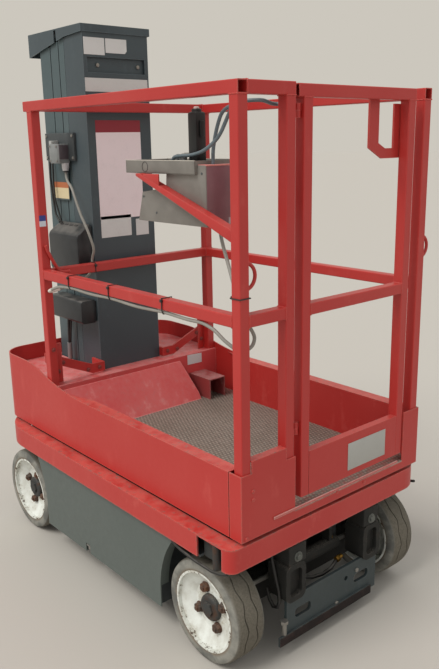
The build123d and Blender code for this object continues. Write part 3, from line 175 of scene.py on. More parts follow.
class Graph:
    """The node tree of one material."""

    def __init__(self, name: str) -> None:
        """Starts a material of that name with a bare surface shader."""
        self.material = bpy.data.materials.new(name)
        self.material.use_nodes = True
        self.tree = self.material.node_tree
        self.surface = next(n for n in self.tree.nodes if n.type == "BSDF_PRINCIPLED")
        self.place = self.add("ShaderNodeTexCoord", {}, {}).outputs

    def add(self, kind: str, settings: dict, values: dict) -> bpy.types.Node:
        """Adds a node.

        Args:
            kind: Blender's name of the node.
            settings: Its own properties, set before its inputs.
            values: Input name or place to a Signal or a plain value.

        Returns:
            The node.
        """
        made = self.tree.nodes.new(kind)
        for key, value in settings.items():
            setattr(made, key, value)
        for key, value in values.items():
            self.feed(made.inputs[key], value)
        return made

    def node(self, kind: str, settings: dict, values: dict, out: "int | str" = 0) -> Signal:
        """Adds a node and gives the output named or placed by out."""
        return Signal(self, self.add(kind, settings, values).outputs[out])

    def feed(self, socket: bpy.types.NodeSocket, value: "Signal | float | tuple") -> None:
        """Links a Signal to a socket, or sets a plain value on it."""
        if isinstance(value, Signal):
            self.tree.links.new(value.socket, socket)
        else:
            socket.default_value = value

    def point(self, centre: tuple = (0, 0, 0), scale: tuple = (1, 1, 1)) -> Signal:
        """Object coordinates seen from a centre and stretched.

        Args:
            centre: The point that becomes the origin.
            scale: Factors along the three axes.

        Returns:
            The mapped coordinates.
        """
        shift = tuple(-c * s for c, s in zip(centre, scale))
        values = {"Vector": Signal(self, self.place["Object"]), "Location": shift, "Scale": scale}
        return self.node("ShaderNodeMapping", {}, values)

    def axes(self, vector: Signal) -> tuple[Signal, Signal, Signal]:
        """The three parts of a vector."""
        outputs = self.add("ShaderNodeSeparateXYZ", {}, {0: vector}).outputs
        return Signal(self, outputs[0]), Signal(self, outputs[1]), Signal(self, outputs[2])

    def from_axle(self, x: float) -> Signal:
        """Distance from the wheel axle at x."""
        across, _, height = self.axes(self.point(centre=(x, 0, AXLE_Z)))
        return (across * across + height * height) ** 0.5

    def cloud(self, size: float, detail: float = 3.0, rough: float = 0.55,
              stretch: tuple = (1, 1, 1)) -> Signal:
        """Noise whose patches are about the given size.

        Args:
            size: Size of a patch in metres.
            detail: Number of finer layers.
            rough: Weight of the finer layers.
            stretch: Factors that draw the patches out along an axis.

        Returns:
            Values round one half.
        """
        values = {"Vector": self.point(scale=stretch), "Scale": 1.0 / size, "Detail": detail,
                  "Roughness": rough}
        return self.node("ShaderNodeTexNoise", {}, values, "Fac")

    def mix(self, first: "Signal | tuple | str", second: "Signal | tuple | str",
            share: "Signal | float") -> Signal:
        """Blends two colours, each a Signal, a linear colour or a hex code.

        Args:
            first: Colour at a share of nought.
            second: Colour at a share of one.
            share: How much of the second.

        Returns:
            The blended colour.
        """
        tones = [linear(c) if isinstance(c, str) else c for c in (first, second)]
        return self.node("ShaderNodeMix", {"data_type": "RGBA"}, {0: share, 6: tones[0], 7: tones[1]}, 2)

    def edges(self, radius: float) -> Signal:
        """How close a point lies to a sharp edge, from nought to one.

        Args:
            radius: Reach of the edge's wear in metres.

        Returns:
            The mask.
        """
        rounded = self.node("ShaderNodeBevel", {"samples": 6}, {"Radius": radius})
        plain = self.node("ShaderNodeNewGeometry", {}, {}, "True Normal")
        settings = {"operation": "DOT_PRODUCT"}
        match = self.node("ShaderNodeVectorMath", settings, {0: rounded, 1: plain}, "Value")
        return (1.0 - match).step(0.004, 0.16)

    def upward(self) -> Signal:
        """How far the surface faces up, from nought to one."""
        return self.axes(Signal(self, self.place["Normal"]))[2].step(0.35, 0.95)

    def bump(self, height: Signal, depth: float, strength: float = 1.0) -> Signal:
        """Normal bent by a height.

        Args:
            height: Height from nought to one.
            depth: Metres that a height of one stands for.
            strength: Share of the effect.

        Returns:
            The normal.
        """
        return self.node("ShaderNodeBump", {}, {"Strength": strength, "Distance": depth, "Height": height})

    def dress(self, colour: "Signal | tuple", rough: "Signal | float", metal: "Signal | float" = 0.0,
              normal: "Signal | None" = None) -> bpy.types.Material:
        """Feeds the surface shader.

        Args:
            colour: Base colour.
            rough: Roughness.
            metal: Metallic share.
            normal: Bent normal, if any.

        Returns:
            The finished material.
        """
        fed = {"Base Color": colour, "Roughness": rough, "Metallic": metal, "Normal": normal}
        for name, value in fed.items():
            if value is not None:
                self.feed(self.surface.inputs[name], value)
        return self.material


@dataclass(frozen=True)
class WornPaint:
    """Sprayed paint on steel, faded where it is rubbed and chipped along its edges."""

    name: str
    coat: str
    faded: str
    bare: str
    grime: str = "4a3f38"
    edge: float = 0.004
    chips: float = 0.5
    scuffs: float = 0.5
    ledge: float = 0.0
    dust: float = 0.25
    roughness: float = 0.42

    def material(self) -> bpy.types.Material:
        """Builds the material."""
        g = Graph(self.name)
        broad = g.cloud(0.35, 2.0)
        fine = g.cloud(0.018, 4.0, 0.65)
        speck = g.cloud(0.006, 3.0, 0.7)
        streak = g.cloud(0.05, 4.0, 0.6, (1.0, 1.0, 0.35))
        colour = g.mix(self.coat, self.faded, broad.step(0.35, 0.75) * 0.16)
        rub = (streak + fine * 0.45).step(0.80, 0.98) * self.scuffs * 0.6
        colour = g.mix(colour, self.faded, rub)
        edge = g.edges(self.edge)
        worn = (edge * (fine + 0.35)).step(0.28, 0.75) * min(1.0, 0.55 + self.chips * 0.5)
        colour = g.mix(colour, self.faded, worn)
        up = g.upward()
        if self.ledge > 0:
            trodden = up * (streak * 0.8 + fine * 0.6).step(0.45, 0.85) * self.ledge
            colour = g.mix(colour, self.faded, trodden)
            patch = up * (fine * 0.8 + speck * 0.5).step(0.68, 0.86) * self.ledge * 0.8
            colour = g.mix(colour, self.bare, patch)
        chip = (edge * 0.42 + speck * 0.5 + fine * 0.42).step(0.86, 0.92) * self.chips
        colour = g.mix(colour, self.bare, chip)
        dirt = (broad * 0.6 + fine * 0.5).step(0.48, 0.82) * (up * 0.75 + 0.25) * self.dust
        colour = g.mix(colour, self.grime, dirt)
        rough = (fine - 0.5) * 0.22 + self.roughness + dirt * 0.35 + worn * 0.12
        height = g.cloud(0.004, 2.0) * 0.12 + fine * 0.25 - chip * 0.8
        return g.dress(colour, rough.least(0.95), chip * 0.35, g.bump(height, 0.0005, 0.45))


@dataclass(frozen=True)
class Casting:
    """Rough cast iron with rust and dust in its hollows."""

    name: str
    iron: str
    rust: str
    share: float = 0.4
    roughness: float = 0.72

    def material(self) -> bpy.types.Material:
        """Builds the material."""
        g = Graph(self.name)
        coarse = g.cloud(0.03, 4.0, 0.6)
        grain = g.cloud(0.0035, 3.0, 0.7)
        rusty = (coarse * 0.8 + grain * 0.4).step(0.75 - self.share * 0.4, 0.95 - self.share * 0.3)
        colour = g.mix(self.iron, self.rust, rusty)
        colour = g.mix(colour, "8d857a", g.upward() * grain.step(0.35, 0.75) * 0.45)
        colour = g.mix(colour, "7d7a76", g.edges(0.003) * coarse.step(0.4, 0.7) * 0.4)
        rough = grain * 0.25 + (self.roughness - 0.1)
        return g.dress(colour, rough, 0.25, g.bump(grain + coarse * 0.6, 0.0012, 0.6))


@dataclass(frozen=True)
class TreadPlate:
    """Worn floor plate with small raised studs in a close pattern."""

    name: str = "floor_plate_finish"
    pitch: float = 0.0125

    def material(self) -> bpy.types.Material:
        """Builds the material."""
        g = Graph(self.name)
        x, y, _ = g.axes(g.point(scale=(1 / self.pitch, 1 / self.pitch, 1)))
        row = x % 1.0 - 0.5
        shift = ((x - row) * 0.5) % 1.0
        column = (y + shift) % 1.0 - 0.5
        away = (row * row + column * column) ** 0.5
        up = g.upward()
        stud = (1.0 - away.step(0.20, 0.36)) * up
        broad = g.cloud(0.22, 3.0)
        fine = g.cloud(0.02, 4.0, 0.65)
        speck = g.cloud(0.005, 2.0, 0.7)
        colour = g.mix("8f8478", "b9ada0", broad.step(0.3, 0.7))
        grime = (fine * 0.7 + broad * 0.5).step(0.45, 0.8)
        colour = g.mix(colour, "4b4038", grime * 0.55)
        colour = g.mix(colour, "55483f", (1.0 - stud) * up * (speck * 0.6 + 0.25))
        colour = g.mix(colour, "cbbfb1", stud * fine.step(0.38, 0.62) * 0.55)
        px, py, _ = g.axes(g.point())
        redness = ((px * -1.0).step(0.60, 0.672) + abs(py).step(0.30, 0.35)).least(1.0)
        colour = g.mix(colour, "a8645c", redness * fine.step(0.42, 0.6) * 0.7)
        rough = 0.62 - stud * 0.18 + grime * 0.2
        return g.dress(colour, rough, stud * 0.35 + 0.1, g.bump(stud + speck * 0.15, 0.0016, 0.9))


@dataclass(frozen=True)
class Rubber:
    """Dusty grey solid rubber, rubbed paler on the tread."""

    name: str
    axle_x: float

    def material(self) -> bpy.types.Material:
        """Builds the material."""
        g = Graph(self.name)
        radius = g.from_axle(self.axle_x)
        coarse = g.cloud(0.05, 4.0, 0.6)
        fine = g.cloud(0.006, 4.0, 0.7)
        side = g.mix("62625d", "8b8980", coarse.step(0.35, 0.68))
        top = g.mix("5a554a", "6d675b", fine.step(0.3, 0.7))
        colour = g.mix(side, top, radius.step(0.140, 0.146))
        lip = 1.0 - radius.step(0.114, 0.124)
        colour = g.mix(colour, "6d5d49", lip * coarse.step(0.3, 0.6) * 0.8)
        mark = (fine * 0.8 + coarse * 0.4).step(0.70, 0.85)
        colour = g.mix(colour, "3f4140", mark * 0.45)
        return g.dress(colour, 0.85, 0.0, g.bump(fine + coarse * 0.5, 0.0012, 0.5))


@dataclass(frozen=True)
class WheelPaint:
    """Off-white wheel paint, rusty in chips along the lip and by the hub."""

    name: str
    axle_x: float

    def material(self) -> bpy.types.Material:
        """Builds the material."""
        g = Graph(self.name)
        radius = g.from_axle(self.axle_x)
        coarse = g.cloud(0.045, 4.0, 0.6)
        fine = g.cloud(0.009, 4.0, 0.65)
        colour = g.mix("dfe2db", "c6c6bc", coarse.step(0.35, 0.7))
        lip = radius.step(0.098, 0.112)
        centre = 1.0 - radius.step(0.045, 0.075)
        dirt = (fine * 0.6 + coarse * 0.5 + lip * 0.12 + centre * 0.16).step(0.60, 0.82)
        colour = g.mix(colour, "988a70", dirt * 0.5)
        chip = (fine * 0.75 + coarse * 0.35 + lip * 0.14 + centre * 0.05).step(0.735, 0.77)
        colour = g.mix(colour, "4a382c", chip)
        return g.dress(colour, 0.5 + dirt * 0.3, 0.0, g.bump(fine * 0.3 - chip, 0.0006, 0.6))


@dataclass(frozen=True)
class Moulding:
    """Moulded plastic or smooth sheet with a fine grain and a film of dust."""

    name: str
    colour: str
    roughness: float = 0.5
    metal: float = 0.0
    dust: float = 0.3

    def material(self) -> bpy.types.Material:
        """Builds the material."""
        g = Graph(self.name)
        coarse = g.cloud(0.06, 3.0)
        grain = g.cloud(0.0022, 2.0)
        base = linear(self.colour)
        pale = shade(base, 1.35, 0.02)
        colour = g.mix(base, pale, coarse.step(0.35, 0.75) * 0.5)
        film = g.upward() * coarse.step(0.3, 0.7) * self.dust
        colour = g.mix(colour, "a39c92", film)
        colour = g.mix(colour, pale, g.edges(0.002) * 0.35)
        rough = coarse * 0.16 + self.roughness + film * 0.2 - 0.08
        return g.dress(colour, rough, self.metal, g.bump(grain, 0.0003, 0.35))


@dataclass(frozen=True)
class BlankPlate:
    """A blank plate or label, yellowed and scuffed, with a band of colour if it has one."""

    name: str
    ground: str
    band: str = ""
    band_low: float = 0.0
    roughness: float = 0.5

    def material(self) -> bpy.types.Material:
        """Builds the material."""
        g = Graph(self.name)
        coarse = g.cloud(0.04, 4.0, 0.6)
        fine = g.cloud(0.004, 3.0, 0.7)
        base = linear(self.ground)
        colour = g.mix(base, shade(base, 0.72), (coarse * 0.6 + fine * 0.4).step(0.46, 0.80) * 0.35)
        if self.band:
            z = g.axes(g.point())[2]
            colour = g.mix(colour, self.band, z.step(self.band_low, self.band_low + 0.0008))
        colour = g.mix(colour, "6e665c", (coarse + fine * 0.3).step(0.84, 0.98) * 0.35)
        return g.dress(colour, self.roughness, 0.0, g.bump(coarse, 0.0004, 0.3))


class Finishes:
    """Every finish that more than one piece shares, each built once."""

    def __init__(self) -> None:
        """Builds the materials."""
        red = {"coat": "b22a26", "faded": "ca5a51", "bare": "7d6a62"}
        self.rail = WornPaint("rail_red", chips=0.35, scuffs=0.3, ledge=0.25, dust=0.1, **red).material()
        self.tray = WornPaint("tray_red", chips=0.55, scuffs=0.4, ledge=0.9, edge=0.006,
                              dust=0.07, **red).material()
        self.rim = WornPaint("rim_red", chips=0.8, scuffs=0.7, ledge=0.95, edge=0.009,
                             dust=0.14, **red).material()
        # The slope panel and the mast cover get a paler red coat than the other red paint: painted light for
        # the extra light they catch. Their scuffs are wear.
        self.slope = WornPaint("slope_red", "ce4a49", "e39490", "a3847d", "7a5a52", chips=0.25,
                               scuffs=0.75, ledge=0.7, edge=0.006, dust=0.3).material()
        self.guard = WornPaint("guard_red", "8f3a39", "b5827f", "6f6059", "5a4a44", chips=0.6,
                               scuffs=0.7, ledge=0.8, edge=0.005, dust=0.3).material()
        self.cover = WornPaint("cover_grey", "545c58", "68706c", "83857f", "4d4a44",
                               chips=0.2, scuffs=0.2, dust=0.35, roughness=0.5).material()
        self.frame = WornPaint("frame_grey", "3b4042", "5c6364", "6f6a64", "5a5149",
                               chips=0.4, scuffs=0.4, dust=0.5, roughness=0.6).material()
        self.mast = WornPaint("mast_grey", "3e494e", "5e6f75", "8b8985", "57514c",
                              chips=0.3, scuffs=0.35, dust=0.25, roughness=0.5).material()
        self.stage = WornPaint("stage_grey", "465659", "6b797c", "96958f", "4f4a45",
                               chips=0.3, scuffs=0.3, dust=0.3, roughness=0.5).material()
        self.plate = WornPaint("plate_grey", "303a3c", "525d5f", "6a5f55", "4f453d",
                               chips=0.4, scuffs=0.5, dust=0.4, roughness=0.55).material()
        # Near-black iron, made darker still as painted shade for the shaded insides of the chassis.
        self.axle = Casting("axle_iron", "262624", "3a3028", 0.3).material()
        self.hub = Casting("hub_iron", "3c3e3d", "4f3728", 0.5).material()
        self.rust = Casting("rusty_steel", "4a3f38", "6b452f", 0.75).material()
        self.foot = Casting("foot_bar", "231b1b", "3a2a26", 0.45, 0.85).material()
        self.floor = TreadPlate().material()
        self.tread = {end: Rubber(f"{end}_tread", x).material() for end, x in AXLE_X.items()}
        self.wheel = {end: WheelPaint(f"{end}_wheel_white", x).material() for end, x in AXLE_X.items()}
        self.black = Moulding("moulded_black", "0f1012", 0.42, 0.0, 0.15).material()
        self.grey_box = Moulding("moulded_grey", "7a7d7c").material()
        self.console = Moulding("console_sheet", "79756f", 0.38, 0.25, 0.35).material()
        self.battery = Moulding("battery_case", "232427", 0.55, 0.0, 0.5).material()
        self.brass = Moulding("brass_fitting", "a8813a", 0.35, 0.9, 0.1).material()
        self.zinc = Moulding("zinc_bolt", "8e8b85", 0.4, 0.7, 0.2).material()
        self.cable = Moulding("cable_sheath", "87857d", 0.5, 0.0, 0.2).material()
        self.conduit = Moulding("conduit_blue", "5d6a70", 0.45, 0.0, 0.2).material()
        self.tie = Moulding("tie_black", "222021", 0.45, 0.0, 0.1).material()
        self.hose = Moulding("hose_black", "1a1918", 0.5, 0.0, 0.35).material()
        self.cover_black = Moulding("cover_black", "202326", 0.42).material()
        self.grey_bolt = Moulding("grey_bolt", "5f625e", 0.45, 0.6, 0.25).material()


class Axis(Enum):
    """Direction in which a flat outline gets its thickness."""

    X = 0
    Y = 1
    Z = 2

    def point(self, level: float, first: float, second: float) -> tuple[float, ...]:
        """Places a corner of the outline at a level.

        Args:
            level: Distance along this axis.
            first: Distance along the next axis.
            second: Distance along the axis after that.

        Returns:
            The point in space.
        """
        ordered = (level, first, second)
        return tuple(ordered[(i - self.value) % 3] for i in range(3))


class Shaper:
    """Makes meshes for one piece and hands the finished piece to its body."""

    def __init__(self, name: str) -> None:
        """Starts an empty piece of that name."""
        self.name = name
        self.mesh = bmesh.new()

    def soften(self, edges: set, width: float) -> None:
        """Bevels edges."""
        bmesh.ops.bevel(self.mesh, geom=list(edges), offset=width, segments=2, profile=0.5,
                        affect="EDGES", material=-1)

    def skin(self, rings: list, closed: bool) -> list:
        """Joins rings of points by faces.

        Args:
            rings: Rings with as many points each, in order.
            closed: Whether the last ring joins the first. If not, both ends get a face.

        Returns:
            The faces.
        """
        made = [[self.mesh.verts.new(p) for p in ring] for ring in rings]
        sides = len(made[0])
        faces = []
        for first, second in zip(made, made[1:] + (made[:1] if closed else [])):
            for k in range(sides):
                m = (k + 1) % sides
                faces.append(self.mesh.faces.new((first[k], first[m], second[m], second[k])))
        if not closed:
            faces += [self.mesh.faces.new(made[0][::-1]), self.mesh.faces.new(made[-1])]
        return faces

    def spin(self, rings: list) -> "Shaper":
        """Adds a closed ring-shaped solid from its cross-sections."""
        self.skin(rings, True)
        return self

    def box(self, low: tuple, high: tuple, soft: float = 0.0) -> "Shaper":
        """Adds a box between two corners.

        Args:
            low: Lowest corner.
            high: Highest corner.
            soft: Width of its bevelled edges.

        Returns:
            The shaper itself.
        """
        size = [b - a for a, b in zip(low, high)]
        middle = [(a + b) / 2 for a, b in zip(low, high)]
        place = Matrix.Translation(middle) @ Matrix.Diagonal((*size, 1.0))
        made = bmesh.ops.create_cube(self.mesh, size=1.0, matrix=place)
        if soft > 0:
            self.soften({e for v in made["verts"] for e in v.link_edges}, soft)
        return self

    def drum(self, base: tuple, along: tuple, radius: float, depth: float, sides: int = 24,
             soft: float = 0.0) -> "Shaper":
        """Adds a cylinder or hexagon head.

        Args:
            base: Centre of its foot.
            along: Direction from foot to tip.
            radius: Its radius.
            depth: Its height.
            sides: Number of sides.
            soft: Width of the bevel at its tip.

        Returns:
            The shaper itself.
        """
        axis = Vector(along).normalized()
        turn = axis.to_track_quat("Z", "Y").to_matrix().to_4x4()
        place = Matrix.Translation(Vector(base) + axis * depth / 2) @ turn
        made = bmesh.ops.create_cone(self.mesh, cap_ends=True, segments=sides, radius1=radius,
                                     radius2=radius, depth=depth, matrix=place)
        if soft > 0:
            top = Vector(base) + axis * depth
            self.soften({e for v in made["verts"] for e in v.link_edges
                         if all(abs((w.co - top).dot(axis)) < 1e-6 for w in e.verts)}, soft)
        return self

    def bolt(self, seat: tuple, along: tuple, washer: tuple, head: tuple, sides: int = 20,
             rim: float = 0.0) -> "Shaper":
        """Adds a washer with a hexagon head on it.

        Args:
            seat: Centre of the washer's foot.
            along: Direction from foot to tip.
            washer: Its radius and thickness.
            head: The head's radius, height and bevel.
            sides: Number of the washer's sides.
            rim: Width of the washer's bevel.

        Returns:
            The shaper itself.
        """
        top = tuple(Vector(seat) + Vector(along) * washer[1])
        return self.drum(seat, along, *washer, sides, rim).drum(top, along, head[0], head[1], 6, head[2])

    def dome(self, centre: tuple, radius: float, squash: tuple) -> "Shaper":
        """Adds a ball that is squashed by factors along the three axes."""
        place = Matrix.Translation(centre) @ Matrix.Diagonal((*squash, 1.0))
        bmesh.ops.create_uvsphere(self.mesh, u_segments=24, v_segments=14, radius=radius, matrix=place)
        return self

    def prism(self, outline: list, low: float, high: float, axis: Axis, soft: float = 0.0) -> "Shaper":
        """Adds a flat outline, thickened along an axis.

        Args:
            outline: Corners in the two other directions, in their cyclic order.
            low: Start along the axis.
            high: End along the axis.
            axis: Direction of the thickness.
            soft: Width of its bevelled edges.

        Returns:
            The shaper itself.
        """
        rings = [[axis.point(level, *corner) for corner in outline] for level in (low, high)]
        faces = self.skin(rings, False)
        if soft > 0:
            self.soften({e for f in faces for e in f.edges}, soft)
        return self

    def sheet(self, loops: list, low: float, high: float, axis: Axis) -> "Shaper":
        """Adds a flat sheet with holes.

        Args:
            loops: The outline, then one loop of corners for each hole.
            low: Start along the axis.
            high: End along the axis.
            axis: Direction of the thickness.

        Returns:
            The shaper itself.
        """
        edges = []
        for loop in loops:
            ring = [self.mesh.verts.new(axis.point(low, *corner)) for corner in loop]
            edges += [self.mesh.edges.new(pair) for pair in zip(ring, ring[1:] + ring[:1])]
        made = bmesh.ops.triangle_fill(self.mesh, edges=edges, use_beauty=True)
        faces = [part for part in made["geom"] if isinstance(part, bmesh.types.BMFace)]
        raised = bmesh.ops.extrude_face_region(self.mesh, geom=faces, use_keep_orig=True)
        verts = [part for part in raised["geom"] if isinstance(part, bmesh.types.BMVert)]
        bmesh.ops.translate(self.mesh, verts=verts, vec=Vector(axis.point(high - low, 0.0, 0.0)))
        return self

    def pipe(self, path: list, radius: float, sides: int = 12, closed: bool = False) -> "Shaper":
        """Adds a round wire along a path.

        Args:
            path: Points of its middle line.
            radius: Radius of the wire.
            sides: Number of sides.
            closed: Whether the last point joins the first.

        Returns:
            The shaper itself.
        """
        points = [Vector(p) for p in path]
        rings = []
        normal = None
        for i, here in enumerate(points):
            before = points[i - 1] if closed or i > 0 else here
            after = points[(i + 1) % len(points)] if closed or i < len(points) - 1 else here
            run = (after - before).normalized()
            if normal is None:
                normal = run.orthogonal().normalized()
            normal = (normal - run * normal.dot(run)).normalized()
            across = run.cross(normal)
            angles = [2 * math.pi * k / sides for k in range(sides)]
            rings.append([here + (normal * math.cos(a) + across * math.sin(a)) * radius for a in angles])
        self.skin(rings, closed)
        return self

    def cable(self, points: list, radius: float) -> "Shaper":
        """Adds a round cable along straight runs with eased corners.

        Args:
            points: Ends and corners of the runs.
            radius: Radius of the cable.

        Returns:
            The shaper itself.
        """
        route = [Vector(p) for p in points]
        path = [route[0]]
        for before, here, after in zip(route, route[1:], route[2:]):
            reach = 0.45 * min((here - before).length, (after - here).length)
            start = here + (before - here).normalized() * reach
            end = here + (after - here).normalized() * reach
            for t in (0.0, 0.25, 0.5, 0.75, 1.0):
                path.append(start * (1 - t) ** 2 + here * 2 * t * (1 - t) + end * t * t)
        path.append(route[-1])
        return self.pipe(path, radius)

    def done(self, body: str, material: bpy.types.Material, slot: str = "", smooth: float = 35.0,
             replaces: tuple = ()) -> None:
        """Closes the piece and puts it on its body.

        Args:
            body: Body that it rides on.
            material: Its finish.
            slot: Name of the record's material slot; not used.
            smooth: Angle in degrees under which an edge is shaded smooth.
            replaces: Solids that the piece stands for.
        """
        bmesh.ops.recalc_face_normals(self.mesh, faces=self.mesh.faces)
        data = bpy.data.meshes.new(self.name)
        self.mesh.to_mesh(data)
        self.mesh.free()
        data.materials.append(material)
        data.shade_smooth()
        data.set_sharp_from_angle(angle=math.radians(smooth))
        piece = bpy.data.objects.new(self.name, data)
        bpy.context.scene.collection.objects.link(piece)
        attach(piece, body)
        if replaces:
            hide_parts(*replaces)
        LOG.info("%s: %d faces on %s", self.name, len(data.polygons), body)


@dataclass
class Studio:
    """Pale floor, soft light and the camera at the photograph's place."""

    eye: tuple[float, float, float] = (-1.91128, 1.47326, 1.37594)
    yaw: float = -40.4106
    pitch: float = 14.4926
    roll: float = 1.0956
    lens: float = 40.37
    floor_colour: str = "b9b4ab"
    floor_size: float = 60.0
    backdrop: str = "ccc7bd"
    sky: float = 0.74
    sun: float = 1.95
    sun_spread: float = 28.0
    sun_way: tuple[float, float, float] = (-0.05, -0.72, -0.95)
    sun_tint: tuple[float, float, float] = (1.0, 0.985, 0.96)

    def camera(self) -> None:
        """Sets the camera."""
        yaw, pitch, roll = (math.radians(a) for a in (self.yaw, self.pitch, self.roll))
        ahead = Vector((math.cos(yaw) * math.cos(pitch), math.sin(yaw) * math.cos(pitch), -math.sin(pitch)))
        level = ahead.cross(Vector(UP)).normalized()
        under = ahead.cross(level)
        right = level * math.cos(roll) + under * math.sin(roll)
        down = under * math.cos(roll) - level * math.sin(roll)
        turn = Matrix((right, -down, -ahead)).transposed()
        data = bpy.data.cameras.new("view")
        data.sensor_width = 36.0
        data.lens = self.lens
        data.clip_end = 200.0
        camera = bpy.data.objects.new("view", data)
        camera.matrix_world = Matrix.Translation(self.eye) @ turn.to_4x4()
        bpy.context.scene.collection.objects.link(camera)
        bpy.context.scene.camera = camera

    def floor(self) -> None:
        """Lays the pale floor."""
        sheet = bmesh.new()
        bmesh.ops.create_grid(sheet, x_segments=1, y_segments=1, size=self.floor_size)
        data = bpy.data.meshes.new("floor")
        sheet.to_mesh(data)
        sheet.free()
        data.materials.append(Graph("floor_concrete").dress(linear(self.floor_colour), 0.75))
        floor = bpy.data.objects.new("floor", data)
        bpy.context.scene.collection.objects.link(floor)

    def lamp(self) -> None:
        """Sets a broad lamp from the left."""
        lamp = bpy.data.lights.new("sun", "SUN")
        lamp.energy = self.sun
        lamp.angle = math.radians(self.sun_spread)
        lamp.color = self.sun_tint
        sun = bpy.data.objects.new("sun", lamp)
        sun.rotation_euler = Vector(self.sun_way).to_track_quat("-Z", "Y").to_euler()
        bpy.context.scene.collection.objects.link(sun)

    def world(self) -> None:
        """Sets an even sky that the camera and mirrors see as a pale backdrop."""
        world = bpy.data.worlds.new("studio")
        world.use_nodes = True
        bpy.context.scene.world = world
        tree = world.node_tree
        back = next(n for n in tree.nodes if n.type == "BACKGROUND")
        back.inputs["Color"].default_value = (1.0, 1.0, 1.0, 1.0)
        back.inputs["Strength"].default_value = self.sky
        seen = tree.nodes.new("ShaderNodeBackground")
        seen.inputs["Color"].default_value = linear(self.backdrop)
        seen.inputs["Strength"].default_value = 1.0
        path = tree.nodes.new("ShaderNodeLightPath")
        either = tree.nodes.new("ShaderNodeMath")
        either.operation = "MAXIMUM"
        blend = tree.nodes.new("ShaderNodeMixShader")
        out = next(n for n in tree.nodes if n.type == "OUTPUT_WORLD")
        for source, target in (
            (path.outputs["Is Camera Ray"], either.inputs[0]),
            (path.outputs["Is Glossy Ray"], either.inputs[1]),
            (either.outputs[0], blend.inputs[0]),
            (back.outputs[0], blend.inputs[1]),
            (seen.outputs[0], blend.inputs[2]),
            (blend.outputs[0], out.inputs["Surface"]),
        ):
            tree.links.new(source, target)

    def build(self) -> None:
        """Makes the whole studio."""
        self.camera()
        self.floor()
        self.lamp()
        self.world()
        bpy.context.scene.view_settings.view_transform = "Standard"


@dataclass
class Solids:
    """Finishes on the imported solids."""

    finishes: Finishes

    def build(self) -> None:
        """Dresses every solid."""
        f = self.finishes
        looks = {
            "chassis_frame": f.frame, "deck_rim": f.rim, "lock_pins": f.hub, "side_cover_left": f.cover,
            "side_cover_right": f.cover, "battery_pack": f.battery, "front_spindles": f.axle,
            "rear_axle": f.axle, "steer_cylinder": f.axle, "entry_plate": f.plate, "mast_base": f.stage,
            "mast_second": f.stage, "mast_third": f.stage, "knuckle_left": f.axle, "knuckle_right": f.axle,
            "steer_rod": f.zinc, "carriage": f.mast, "mast_cap": f.mast, "tray_wall": f.tray,
            "rear_panel": f.tray, "floor_plate": f.floor, "mast_cover": f.slope, "slope_panel": f.slope,
            "rail_frame": f.rail, "gate_frame": f.rail, "connector_box": f.grey_box,
            "moulded_cover": f.black, "lower_box": f.black, "foot_guard": f.guard,
            "console_braces": f.rail, "console_case": f.console, "console_tray": f.console,
            "control_box": f.black,
        }
        for end in AXLE_X:
            for side in ("left", "right"):
                looks[f"tyre_{end}_{side}"] = f.tread[end]
                looks[f"rim_{end}_{side}"] = f.wheel[end]
                looks[f"hub_{end}_{side}"] = f.hub
        for node, material in looks.items():
            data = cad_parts[node].data
            data.materials.clear()
            data.materials.append(material)


@dataclass(frozen=True)
class Corner:
    """Where one wheel is, and how far its bolts are turned."""

    end: str
    side: int
    turn: float

    @property
    def name(self) -> str:
        """The corner's name."""
        return f"{self.end}_{'left' if self.side > 0 else 'right'}"

    @property
    def x(self) -> float:
        """Place of its axle."""
        return AXLE_X[self.end]


